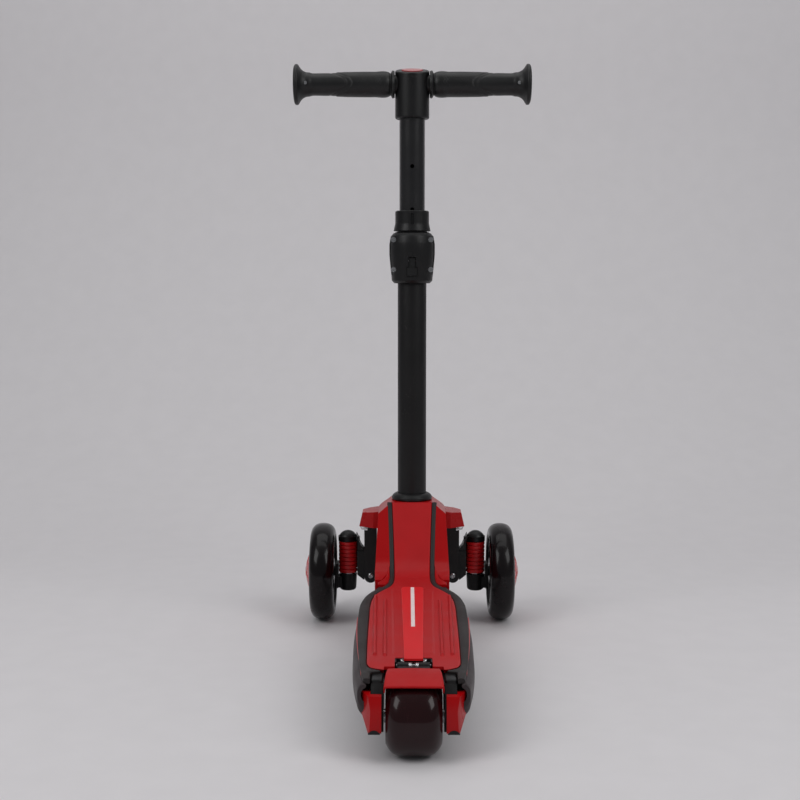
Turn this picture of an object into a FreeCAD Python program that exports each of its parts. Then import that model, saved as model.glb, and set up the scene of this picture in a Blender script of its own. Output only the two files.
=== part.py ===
import FreeCAD, Part
import math
import os
from FreeCAD import Vector

# Child's three-wheeled kick scooter that steers by leaning.
# Millimetres. +X is the rider's right, +Y is forward, +Z is up.
# The origin is on the ground, at the middle of the overall length and width.

# ---- overall driving dimensions ----
WHEELBASE = 467.0            # front axle line to rear axle line
STEM_SETBACK = 57.0          # stem axis behind the front axle line
HANDLE_WIDTH = 277.0         # over the ends of the grips
HANDLE_H = 652.0             # handlebar centre above the ground
HEAD_TOP_H = 674.0           # highest point of the T-head

# ---- front wheels ----
FRONT_R = 60.0
FRONT_W = 30.0
FRONT_TRACK = 222.0
FRONT_CORE_R = 44.0
HUB_CAP_R = 29.0
HUB_CAP_DOME = 8.0
CAP_WALL = 2.2
FRONT_CORE_INSET = 1.5       # hub's end faces inside the tyre's side

# ---- rear wheel ----
REAR_R = 35.0
REAR_W = 50.0
REAR_CORE_R = 24.0
REAR_CORE_INSET = 1.0        # hub's end faces inside the tyre's side
REAR_CORNER_R = 9.0

# ---- bearings, axles and fits ----
BEARING_R = 11.0
BEARING_BORE_R = 4.05
BEARING_W = 7.0
AXLE_R = 4.0
RUN = 0.05                   # radial clearance of a running fit
GAP = 0.4                    # clearance between pieces that move apart
SEAM = 0.15                  # seam between two fixed mouldings
NUT_R = 6.5
NUT_T = 4.5
WALL = 3.0                   # wall of the plastic mouldings

# ---- deck ----
DECK_FRONT_H = 84.6          # top of the deck where it meets the neck
DECK_REAR_H = 72.9           # top of the deck at its rear end
DECK_SETBACK = 115.0         # front of the deck behind the stem axis
DECK_OVERHANG = 10.0         # rear end of the deck behind the rear axle
DECK_BOTTOM_H = 50.0
PANEL_T = 3.0
TRIM_DROP = 0.6              # border trim lies this much below the red panel
TRIM_T = 5.0
SKIRT_DROP = 4.0
CHANNEL_HALF = 22.0          # half width of the chassis channel under the deck
CHANNEL_PLATE = 2.5
PANEL_INSET = 11.5           # edge of the red panel inside the edge of the border trim
TRIM_INSET = 2.5             # edge of the border trim inside the edge of the skirt
SKIRT_OVERLAP = 12.0         # edge of the skirt outside the axle pods
STRIPE_W = 4.0
STRIP_W_FRONT = 25.0
STRIP_W_REAR = 17.5
RIB_W = 4.0
RIB_H = 1.6
STRIP_H = 1.0                # middle strip stands this much above the panel
STRIPE_H = 1.3               # white stripe stands this much above the panel
PINSTRIPE_W = 0.9

# ---- neck and hood ----
NECK_TOP_H = 161.0
NECK_RISE = 1.49             # steepness of the neck's rear face
NECK_BEND_R = 42.0
NECK_HALF_TOP = 23.8
NECK_HALF_LOW = 20.0
NECK_TRIM_W = 5.6
HOOD_HALF = 43.5             # half width of the hood at its widest
HOOD_TAPER = 3.5             # each side comes in by this much towards the shoulder
TAPER_LOW_H = 76.0           # the sides start to come in at this height
HOOD_FRONT = 39.0            # hood's nose ahead of the stem axis
HOOD_BOTTOM_H = 54.0
SHOULDER_H = 146.0
WING_TIP_X = 64.0
WING_TOP_H = 146.0
WING_LOW_H = 125.5

# ---- stem ----
LOWER_R = 17.0
LOWER_WALL = 1.6
LOWER_BOTTOM_H = 84.0
SLEEVE_WALL = 2.4
BEZEL_H = 8.5
UPPER_WALL = 1.5
UPPER_LENGTH = 350.0
HOUSING_BOTTOM_H = 420.0
HOUSING_H = 60.0
COLLAR_TOP_H = 505.0
COLLAR_H = 23.5
HOLE_PITCH = 50.0
HOLE_R = 2.4
HOLE_COUNT = 4
PIN_H = 456.0
PIN_R = 1.6
PIN_STOP = 0.35              # lock pin's tip stops this short of the upper tube
BUSH_WALL = 5.0
PIVOT_UP = 26.0              # lever's pivot above the bottom of the housing
LEVER_PIN_R = 1.2

# ---- handlebar ----
HEAD_BOTTOM_H = 612.0
HEAD_TILT_DEG = 16.0
BADGE_R = 12.5
BADGE_DEPTH = 1.6
BADGE_PROUD = 0.8
CORE_R = 11.0
CORE_WALL = 2.0
GRIP_R = 14.0
GRIP_END_R = 23.5
GRIP_RECESS_R = 13.0

# ---- lean pivot and truck ----
LEAN_H = 64.0
PIVOT_R = 8.0
BUSHING_R = 14.0
TRUCK_GAP = 3.0              # gap between the hood's nose and the truck
BEAM_DEPTH = 28.0
BEAM_HALF_H = 13.0
BEAM_HALF_X = 50.0
POST_IN = 43.5
POST_OUT = 59.0
POST_TOP_H = 118.0
POST_LOW_H = 48.0
STRUT_X = 80.0
DOME_R = 12.0
DOME_TOP_H = 112.0
BELLOWS_R = 11.5
BELLOWS_LOW_H = 58.6
BELLOWS_TOP_H = 98.8
BELLOWS_RIBS = 8
BELLOWS_WALL = 1.0
SPRING_R = 7.0
SPRING_WIRE_R = 0.9
SPRING_TURNS = 6
STRUT_TRAVEL = 8.0
ROD_R = 4.0
CUP_R = 11.2
CUP_LOW_H = 36.7
CUP_TOP_H = 57.2
ARM_LOW_H = 51.0
ARM_TOP_H = 87.0
TIE_AHEAD = 26.0             # tie rod ahead of the front axle line
TIE_H = 61.0
TIE_R = 2.5
STUD_R = 2.2

# ---- rear fork and brake ----
FORK_ROOM = 2.0              # room between the rear tyre and a fork arm
FORK_T = 11.0
POD_T = 8.5                  # pod outside the fork arm
POD_LOW_H = 25.0
POD_TOP_H = 61.0
FENDER_IN_R = 38.6
FENDER_T = 2.4
LIP_W = 1.2                  # half width of the raised rims of the fender
PAD_T = 1.2
HINGE_AHEAD = 34.0           # brake hinge ahead of the rear axle
HINGE_H = 70.0
HINGE_PIN_R = 1.6
FENDER_BACK_DEG = 34.0       # fender's rear edge, behind the top of the wheel
FENDER_FRONT_DEG = 24.0      # full-width part of the fender starts here, ahead of the top
POCKET_HALF = 17.5
POCKET_FRONT = 43.0          # pocket's front edge ahead of the rear axle

# ---- sizes and places that follow from the dimensions above ----
FORK_IN = REAR_W / 2 + FORK_ROOM
FORK_OUT = FORK_IN + FORK_T
POD_OUT = FORK_OUT + POD_T
FENDER_HALF = REAR_W / 2 + 0.2
SKIRT_HALF = POD_OUT + SKIRT_OVERLAP
TRIM_HALF = SKIRT_HALF - TRIM_INSET
PANEL_HALF = TRIM_HALF - PANEL_INSET
UPPER_R = LOWER_R - LOWER_WALL - GAP
NECK_BACK = LOWER_R + 7.0    # rear face of the neck behind the stem axis, at its top
BEZEL_R = LOWER_R + 7.3
HOUSING_R = LOWER_R + 10.0
HOUSING_CAVITY_R = LOWER_R + 6.0
COLLAR_R = UPPER_R + 5.0
COLLAR_FLARE_R = COLLAR_R + 1.9
HEAD_R = UPPER_R + 5.0
PIVOT_OFF = LOWER_R + 4.2    # lever's pivot behind the stem axis
PIVOT_H = HOUSING_BOTTOM_H + PIVOT_UP
FRONT_Y = (WHEELBASE + REAR_R - FRONT_R) / 2
REAR_Y = FRONT_Y - WHEELBASE
STEM_Y = FRONT_Y - STEM_SETBACK
DECK_FRONT_Y = STEM_Y - DECK_SETBACK
DECK_REAR_Y = REAR_Y - DECK_OVERHANG
DECK_FALL = (DECK_FRONT_H - DECK_REAR_H) / (DECK_FRONT_Y - DECK_REAR_Y)
HINGE_Y = REAR_Y + HINGE_AHEAD
HOOD_FRONT_Y = STEM_Y + HOOD_FRONT
BEAM_BACK_Y = HOOD_FRONT_Y + TRUCK_GAP
BEAM_FRONT_Y = BEAM_BACK_Y + BEAM_DEPTH
NECK_TOP_Y = STEM_Y - NECK_BACK
LOWER_BORE_R = LOWER_R - LOWER_WALL
UPPER_BORE_R = UPPER_R - UPPER_WALL
BUSH_R = UPPER_R + BUSH_WALL
UPPER_TOP_H = HANDLE_H - CORE_R - 1
UPPER_LOW_H = UPPER_TOP_H - UPPER_LENGTH
HOUSING_TOP_H = HOUSING_BOTTOM_H + HOUSING_H
LOWER_TOP_H = PIN_H - 8.0
HALF_W = HANDLE_WIDTH / 2
X_AXIS = Vector(1, 0, 0)
Y_AXIS = Vector(0, 1, 0)
Z_AXIS = Vector(0, 0, 1)


# ---- helpers ----
def cylinder(radius, start, end):
    """Cylinder from one point to another."""
    a = Vector(*start)
    b = Vector(*end)
    return Part.makeCylinder(radius, (b - a).Length, a, b - a)


def tube(outer, inner, start, end):
    """Cylinder with a bore."""
    return cylinder(outer, start, end).cut(cylinder(inner, start, end))


def box(x0, x1, y0, y1, z0, z1):
    """Box between two corners."""
    return Part.makeBox(x1 - x0, y1 - y0, z1 - z0, Vector(x0, y0, z0))


def mirror(shape):
    """The same piece on the other side of the scooter."""
    return shape.mirror(Vector(0, 0, 0), X_AXIS)


def polygon(points):
    """Flat face inside a closed run of straight edges."""
    corners = [Vector(*p) for p in points]
    return Part.Face(Part.makePolygon(corners + corners[:1]))


def prism_x(points, x0, x1):
    """Outline of (y, z) points carried from x0 to x1."""
    face = polygon([(x0, y, z) for y, z in points])
    return face.extrude(Vector(x1 - x0, 0, 0))


def prism_y(points, y0, y1):
    """Outline of (x, z) points carried from y0 to y1."""
    face = polygon([(x, y0, z) for x, z in points])
    return face.extrude(Vector(0, y1 - y0, 0))


def turned(points, centre, axis):
    """Solid of revolution: points are (distance along the axis, radius)."""
    corner = {"x": lambda a, r: (centre[0] + a, centre[1] + r, centre[2]),
              "z": lambda a, r: (centre[0] + r, centre[1], centre[2] + a)}[axis]
    face = polygon([corner(a, r) for a, r in points])
    direction = X_AXIS if axis == "x" else Z_AXIS
    return face.revolve(Vector(*centre), direction, 360)


def smooth_side(points):
    """Curve through plan points."""
    curve = Part.BSplineCurve()
    curve.interpolate([Vector(x, y, 0) for x, y in points])
    return curve.toShape()


def plan_prism(points, inset=0.0):
    """Upright prism, symmetric about X = 0, whose right side runs through the points."""
    side = [(x - inset, y) for x, y in points]
    side[0] = (side[0][0], side[0][1] - inset)
    side[-1] = (side[-1][0], side[-1][1] + inset)
    right = smooth_side(side)
    left = smooth_side([(-x, y) for x, y in side])
    front = Part.makeLine(Vector(-side[0][0], side[0][1], 0), Vector(side[0][0], side[0][1], 0))
    rear = Part.makeLine(Vector(-side[-1][0], side[-1][1], 0), Vector(side[-1][0], side[-1][1], 0))
    wire = Part.Wire(Part.__sortEdges__([front, right, rear, left]))
    return Part.Face(wire).extrude(Vector(0, 0, HEAD_TOP_H))


def deck_top(y):
    """Height of the top of the deck."""
    return DECK_FRONT_H - DECK_FALL * (DECK_FRONT_Y - y)


def under_top(drop):
    """Everything lower than the deck and neck surface, moved in by drop."""
    deck_dir = Vector(0, 1, DECK_FALL).normalize()
    neck_dir = Vector(0, 1, NECK_RISE).normalize()
    deck_in = Vector(0, deck_dir.z, -deck_dir.y) * drop
    neck_in = Vector(0, neck_dir.z, -neck_dir.y) * drop
    deck_pt = Vector(0, DECK_FRONT_Y, DECK_FRONT_H) + deck_in
    neck_pt = Vector(0, NECK_TOP_Y, NECK_TOP_H) + neck_in
    span = neck_pt - deck_pt
    cross = deck_dir.y * neck_dir.z - deck_dir.z * neck_dir.y
    along = (span.y * neck_dir.z - span.z * neck_dir.y) / cross
    corner = deck_pt + deck_dir * along
    turn = math.atan(NECK_RISE) - math.atan(DECK_FALL)
    radius = NECK_BEND_R + drop
    reach = radius * math.tan(turn / 2)
    start = corner - deck_dir * reach
    end = corner + neck_dir * reach
    inward = Vector(0, -deck_dir.z - neck_dir.z, deck_dir.y + neck_dir.y).normalize()
    middle = corner + inward * (radius / math.cos(turn / 2) - radius)
    rear = start - deck_dir * 600
    top = end + neck_dir * 400
    edges = [Part.makeLine(rear, start), Part.Arc(start, middle, end).toShape(), Part.makeLine(end, top)]
    low_front = Vector(0, top.y, -50)
    low_rear = Vector(0, rear.y, -50)
    edges += [Part.makeLine(top, low_front), Part.makeLine(low_front, low_rear), Part.makeLine(low_rear, rear)]
    face = Part.Face(Part.Wire(edges))
    return face.extrude(Vector(240, 0, 0)).translated(Vector(-120, 0, 0))


def skin(drop, thickness):
    """Sheet of even thickness that follows the deck and neck surface."""
    return under_top(drop).cut(under_top(drop + thickness))


def wheel_well(radius):
    """Space for the rear wheel between the fork arms."""
    well = cylinder(radius, (-FORK_IN + SEAM, REAR_Y, REAR_R), (FORK_IN - SEAM, REAR_Y, REAR_R))
    back = box(-FORK_IN + SEAM, FORK_IN - SEAM, REAR_Y - 60, REAR_Y, 0, HEAD_TOP_H)
    fender_y = REAR_Y + FENDER_IN_R * math.sin(math.radians(FENDER_FRONT_DEG)) + 2.0
    fender_room = box(-FORK_IN + SEAM, FORK_IN - SEAM, REAR_Y - 60, fender_y, REAR_R, HEAD_TOP_H)
    return well.fuse(back).fuse(fender_room)


PANEL_SIDE = [(NECK_HALF_TOP, NECK_TOP_Y), (NECK_HALF_LOW, NECK_TOP_Y - 48), (NECK_HALF_LOW + 2, NECK_TOP_Y - 62),
              (PANEL_HALF - 6, DECK_FRONT_Y - 22), (PANEL_HALF, DECK_FRONT_Y - 60), (PANEL_HALF, DECK_FRONT_Y - 130),
              (PANEL_HALF - 2, REAR_Y + 60), (PANEL_HALF - 6, REAR_Y + 18)]
TRIM_SIDE = [(NECK_HALF_TOP + NECK_TRIM_W, NECK_TOP_Y), (NECK_HALF_LOW + NECK_TRIM_W, NECK_TOP_Y - 46),
             (NECK_HALF_LOW + NECK_TRIM_W + 4, NECK_TOP_Y - 60), (TRIM_HALF - 6, DECK_FRONT_Y - 40),
             (TRIM_HALF, DECK_FRONT_Y - 110), (TRIM_HALF - 1.5, DECK_FRONT_Y - 180), (TRIM_HALF - 5, REAR_Y + 60),
             (TRIM_HALF - 11, DECK_REAR_Y)]
SKIRT_SIDE = [(HOOD_HALF - 2, DECK_FRONT_Y + 14), (SKIRT_HALF - 8, DECK_FRONT_Y - 45),
              (SKIRT_HALF - 1, DECK_FRONT_Y - 112), (SKIRT_HALF, DECK_FRONT_Y - 160),
              (SKIRT_HALF - 1, REAR_Y + 85), (SKIRT_HALF - 4.5, REAR_Y + 14), (SKIRT_HALF - 8, DECK_REAR_Y - 3)]


# ---- deck ----
def pocket():
    """Recess over the brake hinge."""
    return box(-POCKET_HALF, POCKET_HALF, REAR_Y, REAR_Y + POCKET_FRONT, HINGE_H - 5.5, HEAD_TOP_H)


def capsule(x0, y0, x1, y1, width):
    """Upright prism of a straight slot with round ends."""
    a = Vector(x0, y0, 0)
    b = Vector(x1, y1, 0)
    side = Z_AXIS.cross(b - a).normalize() * (width / 2)
    body = Part.Face(Part.makePolygon([a + side, b + side, b - side, a - side, a + side]))
    body = body.extrude(Vector(0, 0, HEAD_TOP_H))
    for end in (a, b):
        body = body.fuse(Part.makeCylinder(width / 2, HEAD_TOP_H, end))
    return body.removeSplitter()


def make_top_panel():
    body = skin(0, PANEL_T).common(plan_prism(PANEL_SIDE))
    body = body.cut(pocket()).cut(wheel_well(REAR_R + 3))
    body = body.cut(cylinder(LOWER_R + SLEEVE_WALL + 1, (0, STEM_Y, 0), (0, STEM_Y, HEAD_TOP_H)))
    ribs = skin(-RIB_H, RIB_H + 0.5)
    rib_rows = [(PANEL_HALF - 4.5, DECK_FRONT_Y - 52, PANEL_HALF - 8.5, REAR_Y + 52),
                (PANEL_HALF - 16.5, DECK_FRONT_Y - 68, PANEL_HALF - 18.5, REAR_Y + 50)]
    for x0, y0, x1, y1 in rib_rows:
        rib = ribs.common(capsule(x0, y0, x1, y1, RIB_W))
        body = body.fuse(rib).fuse(mirror(rib))
    return body


def strip_prism():
    """Outline of the middle strip, which tapers to the rear and ends as a tab over the pocket."""
    front_y = DECK_FRONT_Y - 20
    rear_y = REAR_Y + POCKET_FRONT - 7
    half_front = STRIP_W_FRONT / 2
    half_rear = STRIP_W_REAR / 2
    face = polygon([(half_front, front_y, 0), (half_rear, rear_y, 0), (-half_rear, rear_y, 0),
                    (-half_front, front_y, 0)])
    return face.extrude(Vector(0, 0, HEAD_TOP_H))


def stripe_prism():
    half = STRIPE_W / 2
    face = polygon([(half, DECK_FRONT_Y - 22, 0), (half, REAR_Y + 132, 0),
                    (-half, REAR_Y + 132, 0), (-half, DECK_FRONT_Y - 22, 0)])
    return face.extrude(Vector(0, 0, HEAD_TOP_H))


def make_middle_strip():
    return skin(-STRIP_H, STRIP_H).common(strip_prism()).cut(stripe_prism())


def make_white_stripe():
    return skin(-STRIPE_H, STRIPE_H).common(stripe_prism())


def make_border_trim():
    body = skin(TRIM_DROP, TRIM_T).common(plan_prism(TRIM_SIDE))
    body = body.cut(plan_prism(PANEL_SIDE, -SEAM)).cut(wheel_well(REAR_R + 3))
    body = body.cut(box(-FORK_IN, FORK_IN, REAR_Y - 60, REAR_Y + 60, 0, HEAD_TOP_H))
    return body.cut(cylinder(LOWER_R + SLEEVE_WALL + 1, (0, STEM_Y, 0), (0, STEM_Y, HEAD_TOP_H)))


def cheek_profile(inset=0.0):
    """Side view of the skirt, deeper at the rear where it covers the fork."""
    low = DECK_BOTTOM_H + inset
    return [(DECK_FRONT_Y + 20, low), (DECK_FRONT_Y + 20, 140), (DECK_REAR_Y - 20, 140),
            (DECK_REAR_Y - 6 + inset, 60), (DECK_REAR_Y + 2 + inset, low - 15), (REAR_Y + 26, low - 12),
            (REAR_Y + 62, low)]


def make_deck_skirt():
    whole = under_top(SKIRT_DROP).common(plan_prism(SKIRT_SIDE))
    body = whole.common(prism_x(cheek_profile(), -80, 80))
    hollow = plan_prism(SKIRT_SIDE, WALL).common(prism_x(cheek_profile(WALL), -80, 80))
    floor_cut = box(-TRIM_HALF, TRIM_HALF, REAR_Y - 60, REAR_Y + 58, 0, DECK_BOTTOM_H + WALL)
    body = body.cut(hollow).cut(floor_cut.common(plan_prism(SKIRT_SIDE, WALL)))
    body = body.cut(box(-FORK_OUT - 6, FORK_OUT + 6, REAR_Y - 60, REAR_Y + 52, 0, HEAD_TOP_H))
    body = body.cut(box(-POD_OUT - SEAM, POD_OUT + SEAM, REAR_Y - 60, REAR_Y + 8 + SEAM, 0, HEAD_TOP_H))
    trim = skin(TRIM_DROP - 1, TRIM_T + 1).common(plan_prism(TRIM_SIDE, -SEAM))
    return body.cut(trim).cut(chassis_room())


def make_pinstripe():
    """Thin red line that shows between the border trim and the skirt."""
    outer = plan_prism([(x + PINSTRIPE_W, y) for x, y in TRIM_SIDE])
    inner = plan_prism([(x + SEAM, y) for x, y in TRIM_SIDE])
    band = skin(TRIM_DROP + 1.2, SKIRT_DROP - TRIM_DROP - 1.2).common(outer.cut(inner))
    return band.common(box(-90, 90, REAR_Y + 6, DECK_FRONT_Y - 122, 0, HEAD_TOP_H))


def chassis_room():
    """Way for the chassis through the walls of the deck and the hood."""
    return box(-CHANNEL_HALF - SEAM, CHANNEL_HALF + SEAM, REAR_Y + 50 - SEAM, STEM_Y + 20,
               DECK_BOTTOM_H + WALL, LEAN_H + 6 + SEAM)


def make_chassis():
    """Welded spine: channel under the deck, nose block for the lean pivot and a cross plate for the fork."""
    top = LEAN_H + 6
    half = CHANNEL_HALF
    plate = CHANNEL_PLATE
    channel = box(-half, half, REAR_Y + 50, STEM_Y + 20, DECK_BOTTOM_H + WALL + SEAM, top)
    channel = channel.cut(box(plate - half, half - plate, REAR_Y + 52, STEM_Y - 26, DECK_BOTTOM_H, top - plate))
    nose = box(-18, 18, STEM_Y + 12, HOOD_FRONT_Y - WALL - 2, LEAN_H - BEAM_HALF_H, LEAN_H + BEAM_HALF_H)
    body = channel.fuse(nose).fuse(make_neck_sleeve()).fuse(make_fork_bridge())
    lug = make_hinge_lug()
    body = body.fuse(lug).fuse(mirror(lug)).removeSplitter()
    body = body.cut(cylinder(PIVOT_R, (0, STEM_Y + 2, LEAN_H), (0, HOOD_FRONT_Y, LEAN_H)))
    return body.cut(make_hinge_pin())


def make_fork_arm():
    """Side arm that holds one end of the rear axle."""
    rear = REAR_Y
    front = rear + 58
    outline = [(front, deck_top(front) - TRIM_T - TRIM_DROP - SEAM), (rear - 9, deck_top(rear) - TRIM_T - 1),
               (rear - 16, 56), (rear - 16, REAR_R - 9), (rear, 20), (rear + 22, 30), (front, DECK_BOTTOM_H + 4)]
    arm = prism_x(outline, FORK_IN, FORK_OUT)
    return arm.cut(cylinder(AXLE_R, (0, REAR_Y, REAR_R), (POD_OUT, REAR_Y, REAR_R)))


def make_fork_bridge():
    """Cross plate that ties the fork arms to the chassis, ahead of the wheel."""
    return box(-FORK_IN, FORK_IN, REAR_Y + 40, REAR_Y + 52, DECK_BOTTOM_H + 5, LEAN_H + 1)


def make_pod():
    """Faceted red cap over one end of the rear axle."""
    rear = REAR_Y - 24
    outline = [(REAR_Y + 8, POD_TOP_H - 4), (REAR_Y - 12, POD_TOP_H), (rear + 4, POD_TOP_H - 2),
               (rear, POD_TOP_H - 14), (rear + 2, POD_LOW_H + 2), (rear + 6, POD_LOW_H), (REAR_Y + 8, POD_LOW_H)]
    body = prism_x(outline, FORK_IN + 1.5, POD_OUT)
    body = body.cut(box(0, FORK_OUT + SEAM, REAR_Y - 16 - SEAM, REAR_Y + 60, 0, 100))
    facet = polygon([(POD_OUT + 1, rear - 1, 0), (POD_OUT + 1, REAR_Y - 6, 0), (POD_OUT - 9, rear - 1, 0)])
    body = body.cut(facet.extrude(Vector(0, 0, 100)))
    low = [(POD_OUT + 1, POD_LOW_H - 1), (POD_OUT + 1, 44), (POD_OUT - 7, POD_LOW_H - 1)]
    body = body.cut(prism_y(low, rear - 2, REAR_Y + 10))
    arch_x = FORK_IN + 8
    body = body.cut(cylinder(5.5, (arch_x, rear - 2, POD_LOW_H - 1), (arch_x, rear + 5, POD_LOW_H - 1)))
    return body.cut(cylinder(NUT_R + 1, (0, REAR_Y, REAR_R), (FORK_OUT + NUT_T + 0.6, REAR_Y, REAR_R)))


def nut(x0, y, z, thickness):
    """Hexagon nut on a crosswise axle."""
    corners = []
    for k in range(6):
        angle = math.radians(60 * k)
        corners.append((x0, y + NUT_R * math.cos(angle), z + NUT_R * math.sin(angle)))
    return polygon(corners).extrude(Vector(thickness, 0, 0))


def make_rear_axle():
    half = FORK_OUT + 0.2
    inner = REAR_W / 2 - REAR_CORE_INSET + RUN
    rod = cylinder(AXLE_R, (-half - NUT_T, REAR_Y, REAR_R), (half + NUT_T, REAR_Y, REAR_R))
    end = nut(half, REAR_Y, REAR_R, NUT_T)
    collar = cylinder(BEARING_BORE_R + 2.0, (inner, REAR_Y, REAR_R), (FORK_IN, REAR_Y, REAR_R))
    return rod.fuse(end).fuse(mirror(end)).fuse(collar).fuse(mirror(collar)).removeSplitter()


# ---- brake ----
def wheel_ring(inner, thickness, half, start_deg, end_deg):
    """Part of a ring around the rear wheel; angles are from the top, forward positive."""
    ring = tube(inner + thickness, inner, (-half, REAR_Y, REAR_R), (half, REAR_Y, REAR_R))
    reach = 80.0
    points = [(REAR_Y, REAR_R)]
    steps = 6
    for k in range(steps + 1):
        angle = math.radians(start_deg + (end_deg - start_deg) * k / steps)
        points.append((REAR_Y + reach * math.sin(angle), REAR_R + reach * math.cos(angle)))
    return ring.common(prism_x(points, -half, half))


def make_brake_fender():
    outer = FENDER_IN_R + FENDER_T
    cover = wheel_ring(FENDER_IN_R, FENDER_T, FENDER_HALF, -FENDER_BACK_DEG, FENDER_FRONT_DEG)
    neck_half = POCKET_HALF - 2.5
    neck = wheel_ring(FENDER_IN_R, FENDER_T, neck_half, FENDER_FRONT_DEG - 2, FENDER_FRONT_DEG + 8)
    neck_y = REAR_Y + outer * math.sin(math.radians(FENDER_FRONT_DEG + 6))
    plate = box(-neck_half, neck_half, neck_y, HINGE_Y, HINGE_H - 1.2, HINGE_H + 1.2)
    barrel = cylinder(3.4, (-neck_half, HINGE_Y, HINGE_H), (neck_half, HINGE_Y, HINGE_H))
    body = cover.fuse(neck).fuse(plate).fuse(barrel)
    body = body.cut(cylinder(HINGE_PIN_R + RUN, (-30, HINGE_Y, HINGE_H), (30, HINGE_Y, HINGE_H)))
    body = body.cut(box(-4.5, 4.5, HINGE_Y - 4, HINGE_Y + 5, HINGE_H - 5, HINGE_H + 5))
    lip = wheel_ring(outer - 8, 8, LIP_W, -FENDER_BACK_DEG, 6)
    for side in (-1, 1):
        body = body.fuse(lip.translated(Vector(side * (FENDER_HALF + 0.2), 0, 0)))
    return body.removeSplitter()


def make_brake_pad():
    """Steel strip inside the fender that rubs on the wheel."""
    return wheel_ring(FENDER_IN_R - PAD_T, PAD_T, 9.0, -FENDER_BACK_DEG + 6, FENDER_FRONT_DEG - 4)


def make_hinge_pin():
    return cylinder(HINGE_PIN_R, (-POCKET_HALF - 4, HINGE_Y, HINGE_H), (POCKET_HALF + 4, HINGE_Y, HINGE_H))


def make_hinge_lug():
    """Ear of the chassis that carries one end of the brake's hinge pin."""
    x0 = POCKET_HALF - 1.9
    post = box(x0, x0 + 5, REAR_Y + 40, REAR_Y + 50, LEAN_H, HINGE_H - 1)
    ear = box(x0, x0 + 5, HINGE_Y - 3.5, REAR_Y + 44, HINGE_H - 5, HINGE_H + 1.2)
    return post.fuse(ear)


def make_brake_spring():
    """Two coils of the torsion spring round the hinge pin, between the halves of the barrel."""
    coil = tube(3.2, HINGE_PIN_R + 0.3, (0.6, HINGE_Y, HINGE_H), (4.0, HINGE_Y, HINGE_H))
    leg = box(1.2, 2.8, HINGE_Y + 1.5, HINGE_Y + 8.0, HINGE_H - 1.0, HINGE_H + 0.6)
    side = coil.fuse(leg).cut(cylinder(HINGE_PIN_R + 0.3, (0, HINGE_Y, HINGE_H), (6, HINGE_Y, HINGE_H)))
    return Part.makeCompound([side, mirror(side)])


# ---- wheels ----
def bearing(x0, y, z):
    """Ball bearing: two rings and the shield between them."""
    body = tube(BEARING_R, BEARING_BORE_R, (x0, y, z), (x0 + BEARING_W, y, z))
    groove = tube(BEARING_R - 2, BEARING_BORE_R + 2, (x0 - 1, y, z), (x0 + 0.6, y, z))
    other = groove.translated(Vector(BEARING_W + 1.4 - 1.0, 0, 0))
    return body.cut(groove).cut(other)


def tread(half_w, outer, inner, corner):
    """Tyre outline turned about the axle, with rounded shoulders."""
    body = tube(outer, inner, (-half_w, 0, 0), (half_w, 0, 0))
    rims = [e for e in body.Edges if abs(e.BoundBox.ZMax - outer) < 0.01 and e.BoundBox.XLength < 0.01]
    return body.makeFillet(corner, rims)


def at(shape, x, y, z):
    return shape.translated(Vector(x, y, z))


def make_front_tyre():
    body = tread(FRONT_W / 2, FRONT_R, FRONT_CORE_R, FRONT_W / 2 - 1.5)
    return at(body, FRONT_TRACK / 2, FRONT_Y, FRONT_R)


def make_front_core():
    half = FRONT_W / 2
    hub_half = half - FRONT_CORE_INSET
    hub = cylinder(16, (-hub_half, 0, 0), (hub_half, 0, 0))
    web = cylinder(FRONT_CORE_R - 4, (-4, 0, 0), (4, 0, 0))
    rim = tube(FRONT_CORE_R, FRONT_CORE_R - 5, (-half + 3, 0, 0), (half - 3, 0, 0))
    body = hub.fuse(web).fuse(rim)
    for k in range(6):
        rib = box(-half + 4.5, -3, -1.5, 1.5, 14, FRONT_CORE_R - 3)
        body = body.fuse(rib.rotated(Vector(0, 0, 0), X_AXIS, 60 * k))
    body = body.cut(cylinder(BEARING_BORE_R + 2.5, (-half, 0, 0), (half, 0, 0)))
    for x0 in (-hub_half, hub_half - BEARING_W):
        body = body.cut(cylinder(BEARING_R, (x0, 0, 0), (x0 + BEARING_W, 0, 0)))
    return at(body, FRONT_TRACK / 2, FRONT_Y, FRONT_R)


def make_front_bearings():
    half = FRONT_W / 2 - FRONT_CORE_INSET
    pair = [bearing(-half, 0, 0), bearing(half - BEARING_W, 0, 0)]
    return at(Part.makeCompound(pair), FRONT_TRACK / 2, FRONT_Y, FRONT_R)


def make_hub_cap():
    """Domed cap that clips over the outer face of the front wheel."""
    base = FRONT_W / 2 - 1.0
    ball_r = (HUB_CAP_R ** 2 + HUB_CAP_DOME ** 2) / (2 * HUB_CAP_DOME)
    ball = Part.makeSphere(ball_r, Vector(base + HUB_CAP_DOME - ball_r, 0, 0))
    dome = ball.common(cylinder(HUB_CAP_R, (base, 0, 0), (base + 20, 0, 0)))
    inner = Part.makeSphere(ball_r - CAP_WALL, Vector(base + HUB_CAP_DOME - ball_r, 0, 0))
    dome = dome.cut(inner)
    skirt = tube(HUB_CAP_R, HUB_CAP_R - 2, (4, 0, 0), (base, 0, 0))
    return at(dome.fuse(skirt).removeSplitter(), FRONT_TRACK / 2, FRONT_Y, FRONT_R)


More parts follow.
